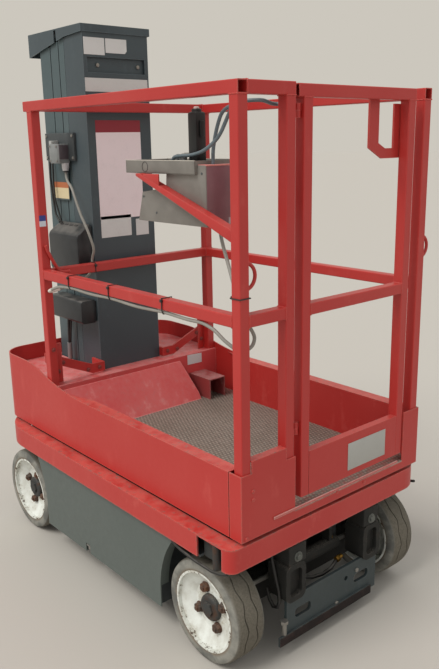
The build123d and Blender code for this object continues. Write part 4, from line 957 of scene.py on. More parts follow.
@dataclass
class WheelDress:
    """Grooved tyres, and the bolts that hold each wheel to its hub."""

    finishes: Finishes
    outer_y: float = highest("tyre_front_left").y
    disc_y: float = lowest("hub_front_left").y
    width: float = highest("tyre_front_left").y - lowest("tyre_front_left").y
    tyre_radius: float = AXLE_Z
    rim_radius: float = 0.114
    steps: int = 108
    waves: int = 12
    wave: float = 0.0045
    groove: float = 0.0042
    groove_depth: float = 0.006
    bolt_ring: float = 0.057
    bolt_head: float = 0.0138
    bolt_depth: float = 0.011
    washer: float = 0.002
    corners: tuple = (
        Corner("front", 1, 20.0),
        Corner("front", -1, 50.0),
        Corner("rear", 1, 65.0),
        Corner("rear", -1, 10.0),
    )

    def section(self, step: int) -> list[tuple[float, float]]:
        """Cross-section of the tyre at one step round it.

        Args:
            step: Number of the step.

        Returns:
            Distance from the outer face and radius of each point, in order.
        """
        phase = step * self.waves / self.steps
        zigzag = abs(phase % 1.0 - 0.5) * 4 - 1
        top = self.tyre_radius
        half = self.groove / 2
        shoulder = [(0.002, self.rim_radius), (0.0, self.rim_radius + 0.008), (0.001, top - 0.012),
                    (0.004, top - 0.0055), (0.012, top - 0.002)]
        points = list(shoulder)
        for centre, sense in ((0.031, 1), (0.067, -1)):
            middle = centre + sense * self.wave * zigzag
            points += [(middle - half, top - 0.0008), (middle - half * 0.5, top - self.groove_depth),
                       (middle + half * 0.5, top - self.groove_depth), (middle + half, top - 0.0008)]
        return points + [(self.width - across, radius) for across, radius in reversed(shoulder)]

    def tyre(self, corner: Corner) -> None:
        """Makes one tyre in place of its plain solid."""
        rings = []
        for step in range(self.steps):
            angle = 2 * math.pi * step / self.steps
            rings.append([(corner.x + radius * math.cos(angle), corner.side * (self.outer_y - across),
                           AXLE_Z + radius * math.sin(angle)) for across, radius in self.section(step)])
        Shaper(f"tread_{corner.name}").spin(rings).done(
            f"wheel_{corner.name}", self.finishes.tread[corner.end], "tyre_grey", 28,
            (f"tyre_{corner.name}",))

    def bolts(self, corner: Corner) -> None:
        """Makes the wheel bolts of one corner."""
        shaper = Shaper(f"wheel_bolts_{corner.name}")
        out = (0, corner.side, 0)
        face = self.disc_y + 0.0003
        stub = corner.side * (face + self.washer + self.bolt_depth)
        for quarter in range(4):
            angle = math.radians(corner.turn + 90 * quarter)
            x = corner.x + self.bolt_ring * math.cos(angle)
            z = AXLE_Z + self.bolt_ring * math.sin(angle)
            shaper.bolt((x, corner.side * face, z), out, (self.bolt_head + 0.002, self.washer),
                        (self.bolt_head, self.bolt_depth, 0.0012))
            shaper.drum((x, stub, z), out, 0.0065, 0.005, 14, 0.001)
        shaper.done(f"wheel_{corner.name}", self.finishes.rust, "hub_iron")

    def build(self) -> None:
        """Dresses all the wheels."""
        for corner in self.corners:
            self.tyre(corner)
        for corner in self.corners:
            self.bolts(corner)


@dataclass
class MastDress:
    """Blank labels and plates on the mast's flat face and the riser, and the recess bar's bolts."""

    finishes: Finishes
    face_x: float = lowest("carriage").x
    riser_x: float = lowest("mast_cover").x
    lift: float = 0.0008
    gap: float = 0.0001

    def build(self) -> None:
        """Makes the labels and the bolts."""
        white = BlankPlate("label_white", "d3d2cf").material()
        poster = BlankPlate("poster_white", "efdfe1", "8e2230", 1.409).material()
        number = BlankPlate("number_plate", "c9c8c4").material()
        # Name, left, right, lower and upper edge, cut-off corner and finish.
        labels = (
            ("label_upper", 0.124, 0.045, 1.655, 1.708, 0.0, white),
            ("label_upper_right", 0.041, -0.042, 1.663, 1.708, 0.008, white),
            ("number_plate_blank", 0.126, -0.122, 1.540, 1.583, 0.0, number),
            ("poster_blank", 0.097, -0.083, 1.120, 1.449, 0.0, poster),
            ("label_lower", 0.096, -0.028, 1.057, 1.130, 0.0, white),
            ("label_small", -0.048, -0.102, 1.054, 1.112, 0.0, white),
        )
        for name, left, right, low, high, cut, look in labels:
            outline = [(left, low), (left, high), (right, high), (right, low + cut)]
            if cut > 0:
                outline.append((right + cut, low))
            shaper = Shaper(name).prism(outline, self.face_x - self.lift, self.face_x - self.gap, Axis.X)
            shaper.done("platform", look)
        outline = [(-0.214, 0.548), (-0.214, 0.586), (-0.283, 0.583), (-0.283, 0.546)]
        riser = Shaper("riser_plate_blank")
        riser.prism(outline, self.riser_x - self.lift - self.gap, self.riser_x - self.gap, Axis.X)
        riser.done("platform", white)
        bolts = Shaper("recess_bolts")
        for y in (0.070, -0.090):
            bolts.drum((self.face_x + 0.0095, y, 1.624), TO_ENTRY, 0.007, 0.004, 6, 0.0008)
        bolts.done("platform", self.finishes.zinc)


@dataclass(frozen=True)
class Bead:
    """A square weld bead round the end of a tube."""

    body: str
    centre: tuple[float, float, float]
    axis: Axis


@dataclass
class RailDress:
    """Weld beads, ties, bolts and small plates of the railing and the gate."""

    finishes: Finishes
    tube: float = 0.015
    gate_x: float = lowest("gate_frame").x
    post_x: float = lowest("rail_frame").x + tube
    front_x: float = 0.285
    rail_y: float = highest("rail_frame").y - tube
    inner_y: float = 0.190
    top_z: float = highest("rail_frame").z - tube
    mid_z: float = 0.968
    half: float = 0.0152
    bead: float = 0.0021
    steps: int = 7

    def beads(self) -> list[Bead]:
        """Where the tubes are welded."""
        posts = ((self.post_x, self.rail_y), (self.post_x, -self.rail_y), (self.post_x, self.inner_y),
                 (self.front_x, self.rail_y), (self.front_x, -self.rail_y))
        made = [Bead("platform", (x, y, self.top_z - self.tube), Axis.Z) for x, y in posts]
        side_y = self.rail_y - self.tube
        for side in SIDES:
            made += [Bead("platform", (x, side * self.rail_y, self.mid_z), Axis.X)
                     for x in (self.post_x + self.tube, self.front_x - self.tube)]
            made += [Bead("platform", (self.front_x, side * side_y, z), Axis.Y)
                     for z in (self.mid_z, self.top_z)]
        made += [Bead("platform", (self.post_x, y, z), Axis.Y)
                 for y, z in ((side_y, self.mid_z), (self.inner_y + self.tube, self.mid_z),
                              (side_y, self.top_z))]
        made += [Bead("gate", (self.post_x, y, 0.965), Axis.Y) for y in (0.117, -0.256)]
        made += [Bead("gate", (self.post_x, y, 1.470), Axis.Z) for y in (0.132, -0.271)]
        return made

    def weld(self, shaper: Shaper, bead: Bead) -> None:
        """Adds one bead, a little uneven along its way."""
        path = []
        corners = ((-1, -1), (1, -1), (1, 1), (-1, 1))
        level, first, second = (bead.centre[(bead.axis.value + i) % 3] for i in range(3))
        for i, here in enumerate(corners):
            after = corners[(i + 1) % 4]
            for k in range(self.steps):
                share = k / self.steps
                lump = 0.0005 * math.sin(17.0 * share + 5.0 * i + level * 40)
                reach = self.half * (1 + lump * 30) - 0.0006
                a, b = ((p + (q - p) * share) * reach for p, q in zip(here, after))
                path.append(bead.axis.point(level + lump, first + a, second + b))
        shaper.pipe(path, self.bead, 6, True)

    def welds(self) -> None:
        """Makes the beads of the platform and of the gate."""
        for body, slot in (("platform", "rail_red"), ("gate", "gate_red")):
            shaper = Shaper(f"{body}_welds")
            for bead in self.beads():
                if bead.body == body:
                    self.weld(shaper, bead)
            shaper.done(body, self.finishes.rail, slot, 60)

    def ties(self) -> None:
        """Makes the ties that hold the lead to the rails and the post, each with its lock."""
        loops = [([(x, 0.3235, 0.9845), (x, 0.3565, 0.9845), (x, 0.3568, 0.952), (x, 0.352, 0.9425),
                   (x, 0.345, 0.9425), (x, 0.3235, 0.952)], (x, 0.357, 0.978))
                 for x in (0.109, -0.116, -0.371)]
        y = 0.160
        loops.append(([(0.2685, y, 0.9845), (0.3015, y, 0.9845), (0.3125, y, 0.966), (0.3125, y, 0.955),
                       (0.3015, y, 0.9515), (0.2685, y, 0.9515)], (0.2675, y, 0.976)))
        z = 1.024
        loops.append(([(-0.6732, 0.3235, z), (-0.6732, 0.3565, z), (-0.6402, 0.3565, z), (-0.624, 0.328, z),
                       (-0.617, 0.316, z), (-0.621, 0.311, z), (-0.640, 0.3235, z)], (-0.6395, 0.348, z)))
        shaper = Shaper("cable_ties")
        for loop, lock in loops:
            shaper.pipe(loop, 0.0017, 6, True)
            shaper.box(tuple(c - 0.004 for c in lock), tuple(c + 0.004 for c in lock), 0.001)
        shaper.done("platform", self.finishes.tie, "box_black")

    def foot(self) -> None:
        """Makes the foot plates of the front posts, their bolts and the bent rod."""
        plates = Shaper("post_foot_plates")
        bolts = Shaper("post_foot_bolts")
        for side in SIDES:
            y0, y1 = span(side, 0.296, 0.3245)
            plates.box((0.2965, y0, 0.5885), (0.2998, y1, 0.727), 0.0008)
            for x, y, z in ((0.2700, 0.339, 0.715), (0.2965, 0.3115, 0.628), (0.3003, 0.291, 0.655),
                            (0.3003, 0.196, 0.609), (0.3003, 0.150, 0.609)):
                bolts.bolt((x, side * y, z), TO_ENTRY, (0.0075, 0.0014), (0.0060, 0.0045, 0.0008))
        plates.done("platform", self.finishes.tray, "rail_red")
        painted = WornPaint("bolt_red", "7a2f2b", "8f4a44", "5a4640", chips=0.6).material()
        bolts.done("platform", painted, "rail_red")
        bends = [(0.2645, 0.342, 1.062), (0.2645, 0.337, 1.045), (0.2642, 0.322, 1.013),
                 (0.264, 0.308, 0.987), (0.264, 0.300, 0.9765), (0.264, 0.290, 0.9715),
                 (0.264, 0.276, 0.970), (0.264, 0.262, 0.970)]
        Shaper("bent_rod").pipe(bends, 0.0055).done("platform", self.finishes.rail, "rail_red", 50)

    def small_plates(self) -> None:
        """Makes the blank plates of the gate and of a front post."""
        grey = BlankPlate("gate_plate_grey", "a9a8a2", roughness=0.35).material()
        outline = [(-0.040, 0.480), (-0.040, 0.560), (-0.205, 0.560), (-0.205, 0.480)]
        shaper = Shaper("gate_plate_blank")
        shaper.prism(outline, self.gate_x - 0.0012, self.gate_x - 0.0002, Axis.X, 0.0004)
        shaper.done("gate", grey)
        blue = BlankPlate("post_label_blue", "cdd3dc", "34418c", 1.139).material()
        outline = [(0.3545, 1.122), (0.3545, 1.157), (0.332, 1.157), (0.332, 1.122)]
        face = self.front_x - self.tube
        label = Shaper("post_label_blank").prism(outline, face - 0.0007, face - 0.0001, Axis.X)
        label.done("platform", blue)

    def build(self) -> None:
        """Makes everything of the railing and the gate."""
        self.welds()
        self.ties()
        self.foot()
        self.small_plates()


@dataclass
class SideDress:
    """The boxes on the left of the mast, with their leads and labels."""

    finishes: Finishes
    inner_y: float = 0.134
    carriage_y: float = highest("carriage").y + 0.0003
    carriage_x: float = 0.440
    gland: tuple[float, float] = (0.452, 0.146)

    def connector(self) -> None:
        """Makes the connector box: a plate on a pad, the body, and the gland under it."""
        f = self.finishes
        inner, carriage = self.inner_y, self.carriage_y
        outline = [(0.440, inner), (0.500, inner), (0.500, 0.174), (0.494, 0.180), (0.446, 0.180),
                   (0.440, 0.174)]
        box = Shaper("connector_body").prism(outline, 1.310, 1.375, Axis.Z, 0.002)
        box.done("platform", f.grey_box, "box_grey", 35, ("connector_box",))
        back = Shaper("connector_plate")
        back.box((0.400, inner, 1.318), (0.598, inner + 0.004, 1.411), 0.001)
        back.box((0.400, carriage, 1.318), (0.440, inner + 0.004, 1.411), 0.001)
        back.done("platform", f.frame, "frame_grey", 35, ("connector_box",))
        cap = Shaper("connector_cap")
        cap.box((0.502, inner + 0.004, 1.314), (0.520, 0.168, 1.386), 0.003)
        cap.box((0.500, 0.140, 1.330), (0.503, 0.160, 1.370), 0.001)
        cap.done("platform", Moulding("cap_grey", "a9aaa6", 0.4, 0.2, 0.2).material(), "box_grey")
        front = Shaper("connector_front").box((0.4385, 0.139, 1.324), (0.4402, 0.174, 1.371), 0.0006)
        front.done("platform", Moulding("connector_dark", "4b4348", 0.35, 0.0, 0.1).material(), "box_grey")
        gland = Shaper("connector_gland")
        for z, radius, depth, sides, soft in ((1.3105, 0.0145, 0.008, 6, 0.001),
                                              (1.3025, 0.0125, 0.011, 24, 0.002),
                                              (1.2915, 0.0110, 0.007, 24, 0.002)):
            gland.drum((*self.gland, z), DOWN, radius, depth, sides, soft)
        gland.done("platform", Moulding("gland_pale", "c3c2c3", 0.35, 0.1, 0.1).material(), "box_grey")
        seal = Shaper("gland_seal").drum((*self.gland, 1.2845), DOWN, 0.0085, 0.005, 20, 0.001)
        seal.done("platform", f.tie, "box_black")
        screws = Shaper("connector_screws")
        for x in (0.410, 0.588):
            for z in (1.328, 1.401):
                screws.drum((x, inner + 0.0042, z), OUT_LEFT, 0.005, 0.0025, 14, 0.0008)
        for x in (0.448, 0.492):
            for z in (1.318, 1.367):
                screws.drum((x, 0.1802, z), OUT_LEFT, 0.0035, 0.002, 12, 0.0006)
        screws.done("platform", f.zinc)

    def covers(self) -> None:
        """Makes the two moulded covers in place of their plain solids, and on the upper one black strips that
        paint the shade inside its slots.
        """
        f = self.finishes
        inner, carriage = self.inner_y, self.carriage_y
        upper = Shaper("moulded_cover_shell")
        upper.prism([(inner, 0.937), (0.180, 0.937), (0.190, 0.947), (0.190, 1.064), (0.184, 1.076),
                     (0.158, 1.092), (inner, 1.110)], 0.330, 0.530, Axis.X, 0.007)
        upper.box((0.332, carriage, 0.945), (self.carriage_x, inner + 0.002, 1.100), 0.001)
        upper.done("platform", f.cover_black, "box_black", 40, ("moulded_cover",))
        lower = Shaper("lower_box_shell")
        lower.prism([(inner, 0.762), (0.182, 0.762), (0.190, 0.770), (0.190, 0.838), (0.184, 0.845),
                     (inner, 0.845)], 0.332, 0.550, Axis.X, 0.004)
        lower.box((0.334, carriage, 0.768), (self.carriage_x, inner + 0.002, 0.840), 0.001)
        lower.done("platform", f.cover_black, "box_black", 40, ("lower_box",))
        # Thin black strips on the upper cover's slope: painted shade standing in for the dark insides of its
        # vent slots.
        slot_shade = Shaper("cover_slot_shade")
        outline = [(0.146, 1.1013), (0.152, 1.0975), (0.152, 1.0990), (0.146, 1.1028)]
        for x in (0.392, 0.424, 0.456, 0.488):
            slot_shade.prism(outline, x, x + 0.020, Axis.X)
        slot_shade.done("platform", f.tie, "box_black")

    def leads(self) -> None:
        """Makes the leads between the connector, the covers and the ledge."""
        leads = (
            ([(0.566, 0.142, 1.3175), (0.568, 0.144, 1.26), (0.562, 0.143, 1.19), (0.548, 0.144, 1.13),
              (0.520, 0.146, 1.104)], 0.0038, 10),
            ([(0.548, 0.142, 1.3175), (0.545, 0.146, 1.24), (0.540, 0.147, 1.18), (0.512, 0.149, 1.128),
              (0.497, 0.150, 1.098)], 0.0034, 10),
            ([(0.496, 0.150, 0.7615), (0.499, 0.151, 0.715), (0.503, 0.150, 0.660), (0.505, 0.150, 0.589)],
             0.0052, 12),
            ([(0.482, 0.147, 0.7615), (0.489, 0.149, 0.715), (0.500, 0.147, 0.668), (0.503, 0.146, 0.650)],
             0.0036, 10),
        )
        shaper = Shaper("side_leads")
        for lead in leads:
            shaper.pipe(*lead)
        shaper.done("platform", self.finishes.hose, "box_black", 60)
        sleeve = Shaper("lead_sleeve").drum((0.503, 0.150, 0.660), (0.02, 0, -0.6), 0.0085, 0.062, 20, 0.002)
        sleeve.done("platform", self.finishes.grey_box, "box_grey")

    def label(self) -> None:
        """Makes the blank label and the dark strip that holds it under the connector; the strip also stands
        in for the shade under the connector.
        """
        # The dark strip is a guessed backing that also paints the shade under the connector.
        strip = Shaper("label_strip_and_shade").box((0.459, 0.1316, 1.182), (0.573, 0.134, 1.330), 0.0006)
        strip.done("platform", self.finishes.stage, "stage_grey")
        cream = BlankPlate("side_label_cream", "d3c39c", "b4683f", 1.224).material()
        Shaper("side_label_blank").box((0.461, 0.1341, 1.187), (0.571, 0.1348, 1.244)).done("platform", cream)

    def build(self) -> None:
        """Makes the boxes, leads and labels."""
        self.connector()
        self.covers()
        self.leads()
        self.label()


@dataclass
class CableDress:
    """The grey cables: from the connector round the left rail to the case, and to the rear posts."""

    finishes: Finishes
    radius: float = 0.0045

    def build(self) -> None:
        """Makes the three cables and the pale sleeve of the longest."""
        routes = {
            "connector_lead": (
                (452, 146, 1285), (452, 146, 1267), (430, 154, 1248), (395, 160, 1231), (368, 163, 1190),
                (341, 163, 1141), (312, 163, 1105), (292, 160, 1068), (286, 151, 1026), (307, 149, 996),
                (308.5, 151, 964), (305.5, 165, 940), (297, 196, 930), (284, 244, 922), (270, 290, 916),
                (260, 325, 914), (254, 346, 916), (238, 353, 920), (214, 353, 930), (180, 350, 941),
                (107, 348, 947.5), (-8, 349, 942.5), (-118, 348, 947.5), (-245, 349, 941.5),
                (-371, 348, 947.5), (-468, 349, 943.5), (-528, 348, 945.5), (-569, 346, 934.5),
                (-598, 341, 912.5), (-622, 328, 893.5), (-631, 304, 885.5), (-634.4, 282, 893.5),
                (-635.9, 275, 914.5), (-635.9, 286, 935.5), (-633.9, 308, 961.5), (-631.9, 317.5, 995.5),
                (-612, 315, 1030), (-580, 296, 1052), (-545, 279, 1087), (-512, 265, 1124),
                (-494, 257, 1150), (-494, 257, 1172),
            ),
            "tray_lead": (
                (-352, 293, 1322), (-352, 293, 1328), (-362, 293, 1338), (-388, 293, 1341), (-430, 293, 1342),
                (-478, 293, 1351), (-534, 292, 1381), (-570, 294, 1429), (-596, 305, 1447), (-622, 331, 1454),
                (-641, 331, 1454),
            ),
            "case_lead": (
                (-489, 272, 1320.5), (-489, 272, 1354), (-503, 272, 1402), (-524, 272, 1443),
                (-563, 272, 1456), (-607, 269, 1463), (-633.9, 246, 1463), (-628.9, 223, 1459),
                (-621.9, 204, 1456), (-626.9, 189, 1455), (-641, 189, 1455),
            ),
        }
        loop = ((266.5, 305, 915.3), (260, 325, 914), (254, 346, 916), (238, 353, 920), (222, 353, 926.7))
        sleeve = Shaper("lead_loop_sleeve").cable(metres(loop), 0.0058)
        sleeve.done("platform", Moulding("sleeve_pale", "cfc6bd", 0.5, 0.0, 0.1).material(), "box_grey", 70)
        for name, route in routes.items():
            finish = self.finishes.cable if name == "connector_lead" else self.finishes.conduit
            Shaper(name).cable(metres(route), self.radius).done("platform", finish, "box_grey", 70)


@dataclass
class ConsoleDress:
    """The console's braces, case, tray and control column, with their glands, panels and fittings."""

    finishes: Finishes
    sheet: float = 0.003
    brace: float = 0.025
    tray_low: tuple[float, float] = lowest("console_tray")[:2]
    tray_high: tuple[float, float] = (-0.180, highest("console_tray").y)
    tray_top: float = highest("console_tray").z
    high_z: float = lowest("console_tray").z
    low_z: float = 1.170
    tray_floor: float = high_z + sheet + 0.0003
    outer_y: float = highest("console_braces").y - brace / 2
    inner_y: float = lowest("console_braces").y + brace / 2
    rear_x: float = lowest("console_braces").x
    shoulder_x: float = -0.262

    def top(self, x: float) -> float:
        """Height of a brace's upper edge at x."""
        return self.low_z + (x - self.rear_x) * (self.high_z - self.low_z) / (self.shoulder_x - self.rear_x)

    def braces(self) -> None:
        """Makes the tapered braces with their gussets."""
        shaper = Shaper("console_brace_pair")
        half = self.brace / 2
        gusset = [(-0.282, self.high_z), (-0.347, self.high_z), (-0.347, self.top(-0.347) - 0.001),
                  (-0.282, self.top(-0.282) - 0.001)]
        for middle, rear in ((self.outer_y, self.rear_x), (self.inner_y, -0.505)):
            outline = [(rear, self.top(rear)), (rear, self.top(rear) - 0.030),
                       (-0.400, self.top(-0.400) - 0.017), (-0.247, self.high_z - 0.007),
                       (-0.247, self.high_z), (self.shoulder_x, self.high_z)]
            shaper.prism(flip(outline), middle - half, middle + half, Axis.Y, 0.0012)
            shaper.prism(flip(gusset), middle + half - 0.004, middle + half, Axis.Y, 0.0006)
        shaper.done("platform", self.finishes.rail, "rail_red", 35, ("console_braces",))

    def case(self) -> None:
        """Makes the case with its slanted outline."""
        outline = [(-0.505, 1.320), (-0.505, 1.172), (-0.217, 1.172), (-0.239, 1.248), (-0.347, 1.262),
                   (-0.347, 1.297), (-0.474, 1.297), (-0.474, 1.320)]
        shaper = Shaper("console_case_cut")
        shaper.prism(flip(outline), self.inner_y + 0.0128, self.outer_y - 0.0128, Axis.Y, 0.0015)
        shaper.done("platform", self.finishes.console, "console_grey", 35, ("console_case",))

    def tray(self) -> None:
        """Makes the long tray."""
        shaper = Shaper("console_tray_long")
        (x0, y0), (x1, y1), sheet = self.tray_low, self.tray_high, self.sheet
        shaper.box((x0, y0, self.high_z), (x1, y1, self.high_z + sheet), 0.0008)
        for low, high in (((x0, y0), (x0 + sheet, y1)), ((x1 - sheet, y0), (x1, y1)),
                          ((x0, y0), (x1, y0 + sheet)), ((x0, y1 - sheet), (x1, y1))):
            shaper.box((*low, self.high_z), (*high, self.tray_top), 0.0006)
        shaper.done("platform", self.finishes.console, "console_grey", 35, ("console_tray",))

    def column(self) -> None:
        """Makes the control column."""
        shaper = Shaper("control_column")
        shaper.box((-0.427, 0.239, self.tray_floor), (-0.393, 0.273, 1.446), 0.006)
        shaper.done("platform", self.finishes.black, "box_black", 40, ("control_box",))

    def tray_fittings(self) -> None:
        """Makes the tray's glands and leads, the scuffed ring on its wall and the pale strips painted as
        highlights on its top edges.
        """
        f = self.finishes
        glands = Shaper("console_glands")
        for x, y, height in ((-0.352, 0.293, 0.024), (-0.372, 0.272, 0.034), (-0.338, 0.262, 0.030)):
            glands.drum((x, y, self.tray_floor), UP, 0.0125, 0.008, 6, 0.001)
            glands.drum((x, y, self.tray_floor + 0.008), UP, 0.0098, height - 0.008, 20, 0.003)
        for x, y in ((-0.372, 0.272), (-0.338, 0.262)):
            glands.dome((x, y, self.tray_floor + 0.036), 0.0095, (1.2, 1.0, 0.9))
        glands.done("platform", f.grey_box, "box_grey")
        leads = Shaper("tray_leads")
        for path in ([(-0.372, 0.272, 1.336), (-0.380, 0.272, 1.345), (-0.392, 0.268, 1.345),
                      (-0.398, 0.262, 1.335)],
                     [(-0.338, 0.262, 1.330), (-0.352, 0.258, 1.343), (-0.374, 0.256, 1.343),
                      (-0.394, 0.256, 1.334)]):
            leads.pipe(path, 0.0035, 10)
        leads.done("platform", f.cable, "box_grey", 60)
        circle = [(-0.268 + 0.0125 * math.cos(a), 0.3182, 1.3135 + 0.0125 * math.sin(a))
                  for a in (2 * math.pi * k / 28 for k in range(28))]
        Shaper("scuff_ring").pipe(circle, 0.0007, 6, True).done("platform", f.tie, "console_grey", 60)
        # Pale strips along the tray's top edges: painted highlights.
        lip = Shaper("tray_lip")
        x0, x1, z = self.tray_low[0], self.tray_high[0], self.tray_top + 0.0002
        for low, high in ((self.tray_high[1] - 0.0026, self.tray_high[1] + 0.0004),
                          (self.tray_low[1] - 0.0004, self.tray_low[1] + 0.0026)):
            lip.prism([(x0, low), (x1, low), (x1, high), (x0, high)], z - 0.0008, z + 0.0006, Axis.Z)
        lip.done("platform", Moulding("lip_painted_highlight", "c9c3b8", 0.35, 0.3, 0.1).material(), "console_grey")

    def case_fittings(self) -> None:
        """Makes the end panel, whose plum is painted shade and reflection, its label, the top edge with its
        painted highlight, and the screws.
        """
        end = [(0.3070, 1.1745), (0.3070, 1.3165), (0.2050, 1.3165), (0.2050, 1.1745)]
        # The end panel's plum colour is painted shade and a painted reflection on a red sheet.
        shaded_panel = Moulding("panel_plum_shade_and_reflection", "7a5157", 0.3, 0.1, 0.1).material()
        panel = Shaper("case_end_panel").prism(end, -0.5062, -0.5051, Axis.X, 0.0004)
        panel.done("platform", shaded_panel, "console_grey")
        # The pink strip on the case's top edge is a painted highlight on the red sheet's edge.
        edge = Shaper("case_top_edge").box((-0.5064, 0.2035, 1.3172), (-0.4745, 0.3086, 1.3206), 0.0006)
        edge.done("platform", Moulding("edge_pink_painted_highlight", "cf7f78", 0.4, 0.0, 0.1).material(), "console_grey")
        label = [(0.240, 1.176), (0.240, 1.192), (0.212, 1.192), (0.212, 1.176)]
        shaper = Shaper("case_label_blank").prism(label, -0.5068, -0.5062, Axis.X)
        shaper.done("platform", BlankPlate("case_label", "a9a3a4").material())
        screws = Shaper("case_screws")
        for x, z in ((-0.244, 1.236), (-0.300, 1.196), (-0.490, 1.300), (-0.490, 1.190)):
            screws.drum((x, 0.3092, z), OUT_LEFT, 0.0030, 0.0012, 12, 0.0004)
        screws.done("platform", self.finishes.frame, "console_grey")

    def column_fittings(self) -> None:
        """Makes the collar, cap and trigger of the control column."""
        shaper = Shaper("control_fittings")
        shaper.drum((-0.410, 0.256, self.tray_floor), UP, 0.0235, 0.010, 32, 0.002)
        shaper.drum((-0.410, 0.256, 1.4455), UP, 0.0125, 0.008, 24, 0.003)
        shaper.box((-0.4335, 0.250, 1.385), (-0.4262, 0.262, 1.425), 0.002)
        shaper.done("platform", self.finishes.black, "box_black")
        cap = Shaper("control_cap").drum((-0.410, 0.256, 1.4535), UP, 0.007, 0.005, 20, 0.002)
        cap.done("platform", Moulding("cap_pale", "b9a29a", 0.4).material(), "box_black")

    def build(self) -> None:
        """Makes everything of the console."""
        self.braces()
        self.case()
        self.tray()
        self.column()
        self.tray_fittings()
        self.case_fittings()
        self.column_fittings()


